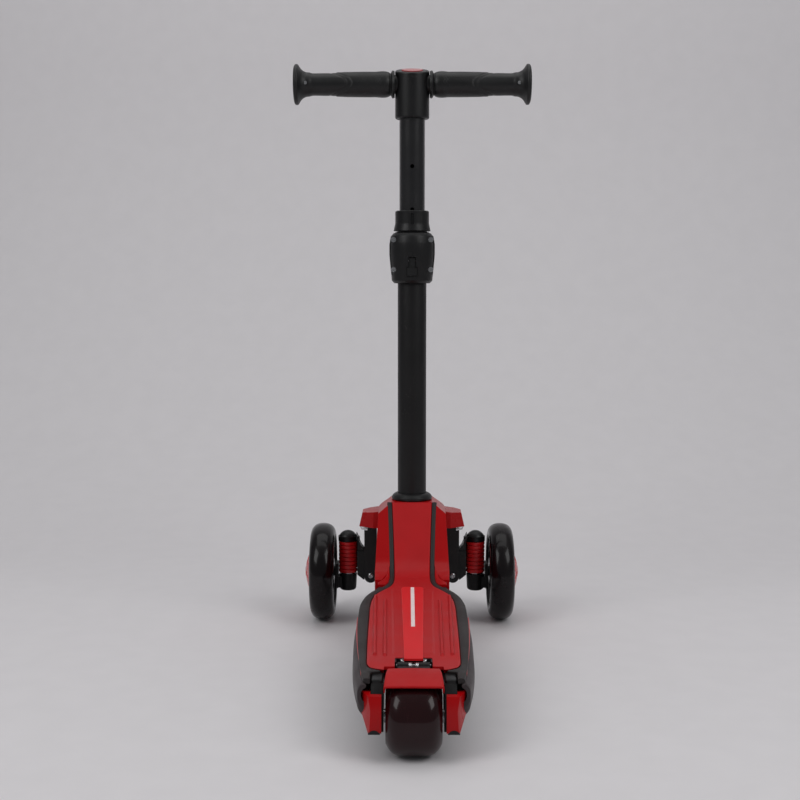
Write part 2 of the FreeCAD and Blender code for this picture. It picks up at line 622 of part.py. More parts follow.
def make_front_axle():
    x0 = STRUT_X + BELLOWS_R + 0.5
    x1 = FRONT_TRACK / 2 + FRONT_W / 2 - FRONT_CORE_INSET
    collar_end = FRONT_TRACK / 2 - FRONT_W / 2 + FRONT_CORE_INSET - RUN
    rod = cylinder(AXLE_R, (x0, FRONT_Y, FRONT_R), (x1 + 3.6, FRONT_Y, FRONT_R))
    collar = cylinder(AXLE_R + 2.2, (x0 + 3.4, FRONT_Y, FRONT_R), (collar_end, FRONT_Y, FRONT_R))
    end = nut(x1 + RUN, FRONT_Y, FRONT_R, 3.5)
    return rod.fuse(collar).fuse(end).removeSplitter()


def make_rear_tyre():
    return at(tread(REAR_W / 2, REAR_R, REAR_CORE_R, REAR_CORNER_R), 0, REAR_Y, REAR_R)


def make_rear_core():
    half = REAR_W / 2 - REAR_CORE_INSET
    body = cylinder(REAR_CORE_R, (-half, 0, 0), (half, 0, 0))
    body = body.cut(cylinder(BEARING_BORE_R + 2.5, (-half, 0, 0), (half, 0, 0)))
    for x0 in (-half, half - BEARING_W):
        body = body.cut(cylinder(BEARING_R, (x0, 0, 0), (x0 + BEARING_W, 0, 0)))
    return at(body, 0, REAR_Y, REAR_R)


def make_rear_bearings():
    half = REAR_W / 2 - REAR_CORE_INSET
    pair = [bearing(-half, 0, 0), bearing(half - BEARING_W, 0, 0)]
    return at(Part.makeCompound(pair), 0, REAR_Y, REAR_R)


# ---- neck and hood ----
def hood_block(inset):
    """Outer form of the hood, moved in by inset: sides, sloping shoulders and a rounded nose."""
    half = HOOD_HALF - inset
    nose = HOOD_FRONT_Y - inset
    plan = [(half - 1.5, DECK_FRONT_Y + 14.5 + inset), (half, STEM_Y - 60), (half, STEM_Y + 12),
            (half - 5, STEM_Y + 28), (half - 17, nose)]
    corners = [(x, y, 0) for x, y in plan] + [(-x, y, 0) for x, y in reversed(plan)]
    body = polygon(corners).extrude(Vector(0, 0, NECK_TOP_H - inset))
    body = body.common(under_top(inset))
    rise = (NECK_TOP_H - SHOULDER_H) / (HOOD_HALF - BEZEL_R)
    for side in (-1, 1):
        x0 = side * (BEZEL_R - inset * 0.6)
        x1 = side * (HOOD_HALF + 10)
        z0 = NECK_TOP_H - inset
        z1 = z0 - rise * abs(x1 - x0)
        body = body.cut(prism_y([(x0, z0), (x0, 300), (x1, 300), (x1, z1)], -50, 300))
        lean_in = HOOD_TAPER * (200 - TAPER_LOW_H) / (SHOULDER_H - TAPER_LOW_H)
        wedge = [(half, TAPER_LOW_H), (half + 20, TAPER_LOW_H), (half + 20, 200), (half - lean_in, 200)]
        body = body.cut(prism_y([(side * x, z) for x, z in wedge], -50, 300))
    front_y = STEM_Y + BEZEL_R
    drop_y = nose + 10
    body = body.cut(prism_x([(front_y - inset * 0.6, NECK_TOP_H - inset), (front_y, 300), (drop_y, 300),
                             (drop_y, NECK_TOP_H - inset - 44)], -80, 80))
    return body


def make_hood():
    body = hood_block(0).cut(box(-80, 80, -50, 300, 0, HOOD_BOTTOM_H))
    body = body.cut(hood_block(WALL))
    body = body.cut(skin(-20, TRIM_DROP + TRIM_T + 20 + SEAM).common(plan_prism(TRIM_SIDE, -SEAM)))
    body = body.cut(cylinder(LOWER_R + SLEEVE_WALL + SEAM, (0, STEM_Y, 100), (0, STEM_Y, 200)))
    notch = cylinder(PIVOT_R + 2, (0, STEM_Y, LEAN_H), (0, HOOD_FRONT_Y + 5, LEAN_H))
    notch = notch.fuse(box(-PIVOT_R - 2, PIVOT_R + 2, STEM_Y, HOOD_FRONT_Y + 5, 0, LEAN_H)).removeSplitter()
    body = body.cut(notch)
    skirt_room = plan_prism([(x + SEAM, y) for x, y in SKIRT_SIDE], -SEAM)
    return body.cut(skirt_room).cut(chassis_room())


def make_wing():
    """Faceted red wing on the side of the hood."""
    y0 = STEM_Y - 2
    y1 = HOOD_FRONT_Y - 1
    tip = WING_TIP_X
    root = HOOD_HALF - HOOD_TAPER - 1.5
    rear = prism_y([(root, WING_TOP_H), (tip - 4, WING_TOP_H - 3), (tip, WING_LOW_H), (root, WING_LOW_H)], y0, y1)
    slope = polygon([(HOOD_HALF + 2, y0 - 1, 0), (tip + 5, y0 - 1, 0), (tip + 5, y0 + 16, 0)])
    body = rear.cut(slope.extrude(Vector(0, 0, 200)))
    sweep = polygon([(HOOD_HALF - 10, y1 + 2, 0), (HOOD_HALF + 6, y1 + 2, 0), (tip + 5, y1 - 14, 0),
                     (tip + 5, y1 + 20, 0)])
    body = body.cut(sweep.extrude(Vector(0, 0, 200)))
    return body.cut(hood_block(-SEAM))


def make_lens():
    """Clear lens under the wing's tip."""
    y0 = STEM_Y + 12
    y1 = HOOD_FRONT_Y - 14
    lens = prism_y([(WING_TIP_X - 10, WING_LOW_H - SEAM), (WING_TIP_X - 0.5, WING_LOW_H - SEAM),
                    (WING_TIP_X - 2.5, WING_LOW_H - 4.5), (WING_TIP_X - 10, WING_LOW_H - 5.5)], y0, y1)
    return lens


def make_neck_sleeve():
    return tube(LOWER_R + SLEEVE_WALL, LOWER_R, (0, STEM_Y, LEAN_H + 6), (0, STEM_Y, NECK_TOP_H))


def make_bezel():
    """Ring round the foot of the stem."""
    r0 = LOWER_R + SEAM
    points = [(0.3, r0), (0.3, BEZEL_R - 0.6), (4.0, BEZEL_R), (BEZEL_H - 2, BEZEL_R - 3), (BEZEL_H, LOWER_R + 1.6),
              (BEZEL_H, r0)]
    return turned(points, (0, STEM_Y, NECK_TOP_H), "z")


# ---- stem ----
def stem_hole(z):
    """Round hole through the rear wall of a stem tube."""
    return cylinder(HOLE_R, (0, STEM_Y - LOWER_R - 20, z), (0, STEM_Y, z))


def make_lower_tube():
    return tube(LOWER_R, LOWER_BORE_R, (0, STEM_Y, LOWER_BOTTOM_H), (0, STEM_Y, LOWER_TOP_H))


def make_upper_tube():
    body = tube(UPPER_R, UPPER_BORE_R, (0, STEM_Y, UPPER_LOW_H), (0, STEM_Y, UPPER_TOP_H))
    for k in range(HOLE_COUNT):
        body = body.cut(stem_hole(PIN_H + HOLE_PITCH * (k - 1)))
    return body


def make_tube_plug():
    """Plastic slider on the foot of the upper tube."""
    low = UPPER_LOW_H
    foot = cylinder(LOWER_BORE_R - RUN, (0, STEM_Y, low - 12), (0, STEM_Y, low - SEAM))
    shank = cylinder(UPPER_BORE_R, (0, STEM_Y, low - 2), (0, STEM_Y, low + 14))
    return foot.fuse(shank).removeSplitter()


def housing_outline(grow):
    """Turned outline of the housing, as (height above its bottom, radius)."""
    radius = HOUSING_R + grow
    return [(0, LOWER_R + 1.2), (0, radius - 6), (3, radius - 3.0), (9, radius - 2.4), (22, radius - 1.0),
            (34, radius), (46, radius), (HOUSING_H - 5, radius - 1.6), (HOUSING_H - 1.5, radius - 4.5),
            (HOUSING_H, radius - 7.5), (HOUSING_H, UPPER_R + 1.0)]


def housing_screws_at():
    """Places of the housing's screws, as (x, z)."""
    places = []
    for z in (HOUSING_BOTTOM_H + 16, HOUSING_TOP_H - 9):
        for side in (-1, 1):
            places.append((side * (HOUSING_R - 5.0), z))
    return places


def lever_slot():
    """Window in the rear wall of the housing for the release lever."""
    back = STEM_Y - HOUSING_R - 2
    low = box(-6.4, 6.4, back, STEM_Y - LOWER_R - GAP, HOUSING_BOTTOM_H + 8, HOUSING_BOTTOM_H + 18.6)
    stem = box(-4.2, 4.2, back, STEM_Y - LOWER_R - GAP, HOUSING_BOTTOM_H + 18, HOUSING_BOTTOM_H + 30.5)
    return low.fuse(stem)


def make_housing():
    solid = turned(housing_outline(0), (0, STEM_Y, HOUSING_BOTTOM_H), "z")
    cavity = cylinder(BUSH_R + RUN, (0, STEM_Y, LOWER_TOP_H), (0, STEM_Y, HOUSING_TOP_H - 2.5))
    rear_room = box(-7, 7, STEM_Y - HOUSING_CAVITY_R, STEM_Y, HOUSING_BOTTOM_H + 6, HOUSING_TOP_H - 8)
    head_room = box(-4.4, 4.4, STEM_Y - HOUSING_R + 1.6, STEM_Y, HOUSING_BOTTOM_H + 28, PIN_H + 6)
    rear_room = rear_room.fuse(head_room)
    body = solid.cut(cylinder(LOWER_R, (0, STEM_Y, 400), (0, STEM_Y, LOWER_TOP_H)))
    body = body.cut(cylinder(UPPER_R + GAP, (0, STEM_Y, 400), (0, STEM_Y, 500)))
    body = body.cut(cavity).cut(rear_room).cut(lever_slot())
    return body


def make_housing_half(rear):
    y0 = STEM_Y - 40 if rear else STEM_Y + SEAM / 2
    y1 = STEM_Y - SEAM / 2 if rear else STEM_Y + 40
    half = make_housing().common(box(-40, 40, y0, y1, 400, 500))
    for x, z in housing_screws_at():
        half = half.cut(cylinder(1.6, (x, STEM_Y - 40, z), (x, STEM_Y + 10, z)))
        half = half.cut(cylinder(3.3, (x, STEM_Y - 40, z), (x, STEM_Y - 9, z)))
    return half


def make_housing_screws():
    screws = []
    for x, z in housing_screws_at():
        shank = cylinder(1.6, (x, STEM_Y - 9, z), (x, STEM_Y + 9, z))
        head = cylinder(3.1, (x, STEM_Y - 11.4, z), (x, STEM_Y - 9, z))
        socket = cylinder(1.3, (x, STEM_Y - 12, z), (x, STEM_Y - 10.2, z))
        screws.append(head.fuse(shank).cut(socket))
    return Part.makeCompound(screws)


def make_guide_bush():
    """Bush on top of the lower tube that guides the upper tube."""
    body = tube(BUSH_R, UPPER_R + RUN, (0, STEM_Y, LOWER_TOP_H), (0, STEM_Y, HOUSING_TOP_H - 2.5 - RUN))
    slot = box(-3, 3, STEM_Y - BUSH_R - 1, STEM_Y, PIN_H - 5, PIN_H + 5)
    room = box(-7, 7, STEM_Y - BUSH_R - 1, STEM_Y - UPPER_R - 2.6, LOWER_TOP_H - 1, HOUSING_TOP_H - 6)
    return body.cut(slot).cut(room)


def make_collar():
    """Flared collar above the housing, with a sight slot over the height marks."""
    low = COLLAR_TOP_H - COLLAR_H
    inner = UPPER_R + GAP
    points = [(-1.5, inner), (-1.5, COLLAR_R - 2.2), (0, COLLAR_R - 2.2), (0, COLLAR_FLARE_R),
              (3, COLLAR_FLARE_R - 0.6), (9, COLLAR_R), (COLLAR_H - 1, COLLAR_R), (COLLAR_H, COLLAR_R - 1),
              (COLLAR_H, inner)]
    body = turned(points, (0, STEM_Y, low), "z")
    return body.cut(box(-1.5, 1.5, STEM_Y - 30, STEM_Y, low + 7, low + 20))


def make_release_lever():
    """See-saw lever: its foot is pressed in, and its head draws the lock pin out."""
    y0 = STEM_Y - PIVOT_OFF
    foot = box(-6, 6, STEM_Y - HOUSING_R + 0.6, y0 + 0.6, HOUSING_BOTTOM_H + 8.5, HOUSING_BOTTOM_H + 18)
    stem = box(-3.8, 3.8, STEM_Y - HOUSING_R + 2.6, y0 + 0.6, HOUSING_BOTTOM_H + 18, HOUSING_BOTTOM_H + 29.5)
    web = box(-3.8, 3.8, y0 - 1.4, y0 + 0.6, HOUSING_BOTTOM_H + 14, PIN_H + 4)
    body = foot.fuse(stem).fuse(web).removeSplitter()
    boss = cylinder(2.6, (-3.8, y0, PIVOT_H), (3.8, y0, PIVOT_H))
    body = body.fuse(boss)
    body = body.cut(cylinder(LEVER_PIN_R + RUN, (-10, y0, PIVOT_H), (10, y0, PIVOT_H)))
    return body.cut(cylinder(PIN_R, (0, STEM_Y - 40, PIN_H), (0, STEM_Y, PIN_H)))


def make_lever_pin():
    y0 = STEM_Y - PIVOT_OFF
    return cylinder(LEVER_PIN_R, (-7.0, y0, PIVOT_H), (7.0, y0, PIVOT_H))


def make_lock_pin():
    tip = STEM_Y - UPPER_R - PIN_STOP
    return cylinder(PIN_R, (0, STEM_Y - PIVOT_OFF - 1.4, PIN_H), (0, tip, PIN_H))


def make_lever_spring():
    """Small coil spring behind the lever's foot."""
    rings = []
    for k in range(3):
        y = STEM_Y - PIVOT_OFF + 1.0 + k * 1.1
        rings.append(tube(2.4, 1.4, (0, y, HOUSING_BOTTOM_H + 12), (0, y + 0.9, HOUSING_BOTTOM_H + 12)))
    return Part.makeCompound(rings)


# ---- handlebar ----
def make_head():
    body = cylinder(HEAD_R, (0, STEM_Y, HEAD_BOTTOM_H), (0, STEM_Y, HEAD_TOP_H + 20))
    tilt = math.tan(math.radians(HEAD_TILT_DEG))
    front = STEM_Y + HEAD_R
    rear = STEM_Y - HEAD_R
    body = body.cut(prism_x([(front + 5, HEAD_TOP_H + 5 * tilt), (front + 5, 800), (rear - 5, 800),
                             (rear - 5, HEAD_TOP_H - (2 * HEAD_R + 5) * tilt)], -40, 40))
    low_edge = [e for e in body.Edges if e.BoundBox.ZMax < HEAD_BOTTOM_H + 0.01]
    top_edge = [e for e in body.Edges if e.BoundBox.ZMin > HEAD_BOTTOM_H + 20]
    body = body.makeFillet(2.0, low_edge + top_edge)
    body = body.cut(cylinder(UPPER_R, (0, STEM_Y, 600), (0, STEM_Y, UPPER_TOP_H)))
    body = body.cut(cylinder(CORE_R, (-40, STEM_Y, HANDLE_H), (40, STEM_Y, HANDLE_H)))
    return body.cut(badge_disc(0.1))


def badge_disc(grow):
    """Disc set into the sloping top of the T-head."""
    tilt = math.radians(HEAD_TILT_DEG)
    middle_h = HEAD_TOP_H - HEAD_R * math.tan(tilt)
    normal = Vector(0, -math.sin(tilt), math.cos(tilt))
    base = Vector(0, STEM_Y, middle_h) - normal * BADGE_DEPTH
    return Part.makeCylinder(BADGE_R + grow, BADGE_DEPTH + BADGE_PROUD, base, normal)


def make_badge():
    return badge_disc(0)


def make_handle_core():
    return tube(CORE_R, CORE_R - CORE_WALL, (-HALF_W + 6, STEM_Y, HANDLE_H), (HALF_W - 6, STEM_Y, HANDLE_H))


def make_grip():
    """Moulded grip with a flared end."""
    start = HEAD_R + 0.6
    end = HALF_W
    points = [(start, CORE_R), (start, 15.5), (start + 3.5, 15.5), (start + 4.5, GRIP_R - 1.5),
              (start + 7, GRIP_R), (start + 30, GRIP_R + 0.4), (start + 62, GRIP_R - 0.4), (end - 18, GRIP_R),
              (end - 14, GRIP_R + 1), (end - 6, GRIP_END_R - 1.5), (end - 4.5, GRIP_END_R),
              (end - 1.5, GRIP_END_R), (end, GRIP_END_R - 2), (end, 5), (end - 5.5, 5), (end - 5.5, CORE_R)]
    body = turned(points, (0, STEM_Y, HANDLE_H), "x")
    recess = box(start + 12, end - 26, STEM_Y - 20, STEM_Y - GRIP_RECESS_R, HANDLE_H - 4, HANDLE_H + 4)
    body = body.cut(recess)
    return body.cut(cylinder(2.2, (HALF_W - 14, STEM_Y - 30, HANDLE_H), (HALF_W - 14, STEM_Y - CORE_R, HANDLE_H)))


def make_grip_screws():
    """Screws that hold the grips on the bar."""
    x = HALF_W - 14
    head = cylinder(2.0, (x, STEM_Y - 14.6, HANDLE_H), (x, STEM_Y - 12.4, HANDLE_H))
    shank = cylinder(1.2, (x, STEM_Y - 12.4, HANDLE_H), (x, STEM_Y - CORE_R, HANDLE_H))
    side = head.fuse(shank)
    return Part.makeCompound([side, mirror(side)])


# ---- truck: the leaning front end ----
def make_pivot_shaft():
    """Pivot shaft with the nut and washer that keep the truck on it."""
    shaft = cylinder(PIVOT_R, (0, STEM_Y + 2, LEAN_H), (0, BEAM_FRONT_Y + 5.5, LEAN_H))
    corners = []
    for k in range(6):
        angle = math.radians(60 * k)
        corners.append((12 * math.cos(angle), BEAM_FRONT_Y + GAP + 1.2, LEAN_H + 12 * math.sin(angle)))
    body = polygon(corners).extrude(Vector(0, 4, 0))
    washer = cylinder(12.5, (0, BEAM_FRONT_Y + GAP, LEAN_H), (0, BEAM_FRONT_Y + GAP + 1.2, LEAN_H))
    return shaft.fuse(body).fuse(washer).removeSplitter()


def make_truck_bushing():
    """Rubber torsion bush that centres the truck on its pivot."""
    return tube(BUSHING_R, PIVOT_R + RUN, (0, BEAM_BACK_Y + 1, LEAN_H), (0, BEAM_FRONT_Y - 1, LEAN_H))


def make_truck_beam():
    """Cross beam of the front end."""
    low = LEAN_H - BEAM_HALF_H
    high = LEAN_H + BEAM_HALF_H
    bar = box(-BEAM_HALF_X, BEAM_HALF_X, BEAM_BACK_Y + 3, BEAM_FRONT_Y - 3, low, high)
    boss = cylinder(BUSHING_R + 5, (0, BEAM_BACK_Y, LEAN_H), (0, BEAM_FRONT_Y, LEAN_H))
    body = bar.fuse(boss)
    body = body.cut(cylinder(BUSHING_R, (0, BEAM_BACK_Y - 1, LEAN_H), (0, BEAM_FRONT_Y + 1, LEAN_H)))
    return body


def beam_room():
    low = LEAN_H - BEAM_HALF_H
    high = LEAN_H + BEAM_HALF_H
    return box(-BEAM_HALF_X, BEAM_HALF_X, BEAM_BACK_Y + 3, BEAM_FRONT_Y - 3, low, high)


def make_post():
    """Black cover on the end of the beam, rounded at its foot."""
    mid = (POST_IN + POST_OUT) / 2
    half = (POST_OUT - POST_IN) / 2
    middle_h = POST_LOW_H + half
    body = box(POST_IN, POST_OUT, BEAM_BACK_Y, BEAM_FRONT_Y - 1, middle_h, POST_TOP_H)
    foot = cylinder(half, (mid, BEAM_BACK_Y, middle_h), (mid, BEAM_FRONT_Y - 1, middle_h))
    crown = [(BEAM_BACK_Y + 8, POST_TOP_H + 1), (BEAM_FRONT_Y, POST_TOP_H + 1), (BEAM_FRONT_Y, POST_TOP_H - 16)]
    body = body.fuse(foot).removeSplitter()
    return body.cut(prism_x(crown, POST_IN - 1, POST_OUT + 1)).cut(beam_room())


def make_truck_cover():
    """Front cover plate of the beam, round the pivot nut."""
    low = LEAN_H - BEAM_HALF_H - 1
    high = LEAN_H + BEAM_HALF_H + 8
    y0 = BEAM_FRONT_Y + SEAM
    outline = [(-36, low), (36, low), (POST_IN - 1, low + 10), (30, high), (-30, high), (1 - POST_IN, low + 10)]
    plate = prism_y(outline, y0, y0 + WALL)
    return plate.cut(cylinder(13.5, (0, y0 - 1, LEAN_H), (0, y0 + 6, LEAN_H)))


def make_strut_housing():
    """Arm, front shell and domed top that carry one suspension strut."""
    y0 = FRONT_Y - 10
    arm_end = STRUT_X - BELLOWS_R - GAP
    arm = box(POST_OUT + SEAM, arm_end, y0, FRONT_Y + 12, ARM_LOW_H, ARM_TOP_H)
    notch = prism_y([(POST_OUT, ARM_LOW_H - 1), (arm_end + 1, ARM_LOW_H - 1), (arm_end + 1, ARM_LOW_H + 7)],
                    y0 - 1, FRONT_Y + 13)
    outer = BELLOWS_R + 3.4
    shell_low = CUP_TOP_H + STRUT_TRAVEL + 1.2
    shell = cylinder(outer, (STRUT_X, FRONT_Y, shell_low), (STRUT_X, FRONT_Y, BELLOWS_TOP_H + 5))
    window = box(STRUT_X - 4, STRUT_X + 30, FRONT_Y - 30, FRONT_Y + 6, 0, DOME_TOP_H)
    back = box(STRUT_X - 30, STRUT_X + 30, FRONT_Y - 30, FRONT_Y - 1, 0, DOME_TOP_H)
    front_out = box(STRUT_X + 6, STRUT_X + 30, FRONT_Y - 30, FRONT_Y + 30, 0, DOME_TOP_H)
    shell = shell.cut(window).cut(back).cut(front_out)
    bar = cylinder(DOME_R, (STRUT_X, FRONT_Y, BELLOWS_TOP_H + 0.2), (STRUT_X, FRONT_Y, DOME_TOP_H - 7))
    ball = Part.makeSphere(DOME_R, Vector(STRUT_X, FRONT_Y, DOME_TOP_H - DOME_R))
    dome = bar.fuse(ball.cut(box(0, 200, 0, 400, 0, BELLOWS_TOP_H + 0.2)))
    body = arm.cut(notch).fuse(shell).fuse(dome)
    room = cylinder(BELLOWS_R + GAP, (STRUT_X, FRONT_Y, 0), (STRUT_X, FRONT_Y, BELLOWS_TOP_H))
    body = body.cut(room)
    return body.cut(cylinder(ROD_R + RUN, (STRUT_X, FRONT_Y, 0), (STRUT_X, FRONT_Y, DOME_TOP_H - 2.2)))


def make_bellows():
    """Ribbed rubber sleeve over the strut's spring."""
    height = BELLOWS_TOP_H - BELLOWS_LOW_H - 0.4
    pitch = height / BELLOWS_RIBS
    valley = BELLOWS_R - 1.6
    outer = []
    for k in range(BELLOWS_RIBS):
        outer += [(k * pitch, valley), (k * pitch + pitch * 0.35, BELLOWS_R), (k * pitch + pitch * 0.7, BELLOWS_R)]
    outer.append((height, valley))
    inner = [(a, r - BELLOWS_WALL) for a, r in reversed(outer)]
    return turned(outer + inner, (STRUT_X, FRONT_Y, BELLOWS_LOW_H + 0.2), "z")


def make_strut_spring():
    """Coil spring of the strut."""
    height = BELLOWS_TOP_H - BELLOWS_LOW_H - 3.0
    base = Vector(STRUT_X, FRONT_Y, BELLOWS_LOW_H + 1.6)
    helix = Part.makeHelix(height / SPRING_TURNS, height - 2 * SPRING_WIRE_R, SPRING_R)
    helix.translate(base + Vector(0, 0, SPRING_WIRE_R))
    start = base + Vector(SPRING_R, 0, SPRING_WIRE_R)
    profile = Part.Wire(Part.makeCircle(SPRING_WIRE_R, start, Y_AXIS))
    return Part.Wire(helix).makePipeShell([profile], True, True)


def make_strut_rod():
    """Sliding kingpin of the strut, with the lower seat of the spring."""
    rod_top = DOME_TOP_H - 3.0 - STRUT_TRAVEL
    rod = cylinder(ROD_R, (STRUT_X, FRONT_Y, CUP_LOW_H + 5), (STRUT_X, FRONT_Y, rod_top))
    seat = cylinder(8.6, (STRUT_X, FRONT_Y, CUP_TOP_H + 0.4), (STRUT_X, FRONT_Y, BELLOWS_LOW_H + 1.4))
    return rod.fuse(seat).removeSplitter()


def make_knuckle():
    """Cup, wheel bracket and steering arm that turn about the strut."""
    points = [(0, 0), (0, CUP_R - 3), (1.2, CUP_R - 1.4), (3, CUP_R - 0.8), (CUP_TOP_H - CUP_LOW_H, CUP_R),
              (CUP_TOP_H - CUP_LOW_H, 0)]
    cup = turned(points, (STRUT_X, FRONT_Y, CUP_LOW_H), "z")
    plate_in = STRUT_X + BELLOWS_R + 0.5
    arm_low = CUP_LOW_H + 3.5
    arm_high = CUP_LOW_H + 10.5
    tie_y = FRONT_Y + TIE_AHEAD
    plate = box(plate_in, plate_in + 3.4, FRONT_Y - 11, FRONT_Y + 11, arm_low, FRONT_R + 11)
    web = box(STRUT_X + 4, plate_in + 1, FRONT_Y - 8, FRONT_Y + 8, arm_low, CUP_TOP_H - 3)
    arm = box(STRUT_X - 4, STRUT_X + 4, FRONT_Y + 5, tie_y, arm_low, arm_high)
    eye = cylinder(4, (STRUT_X, tie_y, arm_low), (STRUT_X, tie_y, arm_high))
    stud = cylinder(STUD_R, (STRUT_X, tie_y, CUP_LOW_H + 5), (STRUT_X, tie_y, TIE_H + 7))
    body = cup.fuse(plate).fuse(web).fuse(arm).fuse(eye).fuse(stud)
    body = body.cut(cylinder(ROD_R + RUN, (STRUT_X, FRONT_Y, CUP_LOW_H + 4.6), (STRUT_X, FRONT_Y, 100)))
    return body.cut(cylinder(AXLE_R, (plate_in - 1, FRONT_Y, FRONT_R), (plate_in + 6, FRONT_Y, FRONT_R)))


def make_tie_rod():
    """Rod across the front that joins the two steering arms."""
    y0 = FRONT_Y + TIE_AHEAD
    body = cylinder(TIE_R, (-STRUT_X, y0, TIE_H), (STRUT_X, y0, TIE_H))
    for side in (-1, 1):
        x = side * STRUT_X
        body = body.fuse(cylinder(6.0, (x, y0, TIE_H - 3), (x, y0, TIE_H + 3)))
    for side in (-1, 1):
        x = side * STRUT_X
        body = body.cut(cylinder(STUD_R + 1.3, (x, y0, TIE_H - 5), (x, y0, TIE_H + 5)))
    return body


# ---- writing the parts ----
def save(name, shape):
    """Write one node."""
    shape.exportStep("parts/" + name + ".step")


def save_sides(name, shape):
    """Two nodes, one for each side, for pieces on different bodies."""
    save(name + "_right", shape)
    save(name + "_left", mirror(shape))


def save_both(name, shape):
    """One node that holds the piece of both sides."""
    save(name, Part.makeCompound([shape, mirror(shape)]))


def build():
    os.makedirs("parts", exist_ok=True)
    save("top_panel", make_top_panel())
    save("middle_strip", make_middle_strip())
    save("white_stripe", make_white_stripe())
    save("border_trim", make_border_trim())
    save("pinstripe", make_pinstripe())
    save("deck_skirt", make_deck_skirt())
    save("chassis", make_chassis())
    save_both("fork_arms", make_fork_arm())
    save_both("rear_pods", make_pod())
    save("rear_axle", make_rear_axle())
    save("rear_tyre", make_rear_tyre())
    save("rear_wheel_core", make_rear_core())
    save("rear_bearings", make_rear_bearings())
    save("brake_fender", make_brake_fender())
    save("brake_pad", make_brake_pad())
    save("brake_hinge_pin", make_hinge_pin())
    save("brake_spring", make_brake_spring())
    save("hood", make_hood())
    save_both("hood_wings", make_wing())
    save_both("wing_lenses", make_lens())
    save("stem_bezel", make_bezel())
    save("lower_tube", make_lower_tube())
    save("housing_rear", make_housing_half(True))
    save("housing_front", make_housing_half(False))
    save("housing_screws", make_housing_screws())
    save("guide_bush", make_guide_bush())
    save("collar", make_collar())
    save("release_lever", make_release_lever())
    save("lever_pin", make_lever_pin())
    save("lock_pin", make_lock_pin())
    save("lever_spring", make_lever_spring())
    save("upper_tube", make_upper_tube())
    save("tube_plug", make_tube_plug())
    save("t_head", make_head())
    save("head_badge", make_badge())
    save("handle_core", make_handle_core())
    save_both("grips", make_grip())
    save("grip_screws", make_grip_screws())
    save("lean_pivot", make_pivot_shaft())
    save("lean_bushing", make_truck_bushing())
    save("truck_beam", make_truck_beam())
    post = make_post()
    save("truck_covers", Part.makeCompound([post, mirror(post), make_truck_cover()]))
    save_both("strut_housings", make_strut_housing())
    save_sides("bellows", make_bellows())
    save_sides("strut_spring", make_strut_spring())
    save("tie_rod", make_tie_rod())
    save_sides("strut_rod", make_strut_rod())
    save_sides("knuckle", Part.makeCompound([make_knuckle(), make_front_axle()]))
    save_sides("front_tyre", make_front_tyre())
    save_sides("front_wheel_core", make_front_core())
    save_sides("front_bearings", make_front_bearings())
    save_sides("hub_cap", make_hub_cap())


build()
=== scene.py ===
"""Child's three-wheeled kick scooter: visible pieces and finishes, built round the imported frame.

Sizes are in millimetres in the frame's axes: +X is the rider's right, +Y is forward, +Z is up.
Every new surface is worked out as whole arrays and goes into its mesh in metres.
"""
import logging
import math
from dataclasses import dataclass, field
from enum import Enum

import bmesh
import bpy
import numpy as np
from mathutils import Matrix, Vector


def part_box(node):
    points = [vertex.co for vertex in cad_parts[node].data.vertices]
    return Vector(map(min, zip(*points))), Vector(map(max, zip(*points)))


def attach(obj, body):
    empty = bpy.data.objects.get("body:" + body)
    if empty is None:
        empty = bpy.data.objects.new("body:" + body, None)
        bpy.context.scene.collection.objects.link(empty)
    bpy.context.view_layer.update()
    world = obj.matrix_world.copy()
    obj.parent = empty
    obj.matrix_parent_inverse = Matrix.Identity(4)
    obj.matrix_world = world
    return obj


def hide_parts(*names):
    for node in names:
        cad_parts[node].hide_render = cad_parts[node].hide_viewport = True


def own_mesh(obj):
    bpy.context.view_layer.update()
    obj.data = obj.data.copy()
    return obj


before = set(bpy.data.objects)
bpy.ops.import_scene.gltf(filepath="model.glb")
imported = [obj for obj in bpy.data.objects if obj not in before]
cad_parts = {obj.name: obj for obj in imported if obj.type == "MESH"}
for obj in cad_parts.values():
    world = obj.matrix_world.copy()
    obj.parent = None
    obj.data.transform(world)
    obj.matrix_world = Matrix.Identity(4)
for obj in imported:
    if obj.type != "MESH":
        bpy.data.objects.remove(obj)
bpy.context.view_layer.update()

LOG = logging.getLogger("scooter")
MM = 0.001
FULL_TURN = 2 * math.pi
SHARP_EDGE = math.radians(40)
Surface = tuple[np.ndarray, np.ndarray]


class Axis(Enum):
    """Direction that a turned piece or a block runs along, as its column in a point."""

    X = 0
    Y = 1
    Z = 2

    @property
    def order(self) -> tuple[int, int, int]:
        """Columns of the axis itself and of the two directions square to it."""
        return self.value, (self.value + 1) % 3, (self.value + 2) % 3


class Grain(Enum):
    """Kind of fine texture a finish carries."""

    MOULDED = "moulded"
    BRUSHED = "brushed"
    CAST = "cast"


class Side(Enum):
    """Side of the scooter, as the sign of X."""

    RIGHT = 1
    LEFT = -1

    @property
    def word(self) -> str:
        """Name of the side as the frame spells it."""
        return self.name.lower()


# ---------------------------------------------------------------- arrays

def node_box(node: str) -> tuple[np.ndarray, np.ndarray]:
    """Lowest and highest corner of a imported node.

    Args:
        node: name of the node.

    Returns:
        The two corners in millimetres.
    """
    low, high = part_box(node)
    return np.array(low) / MM, np.array(high) / MM


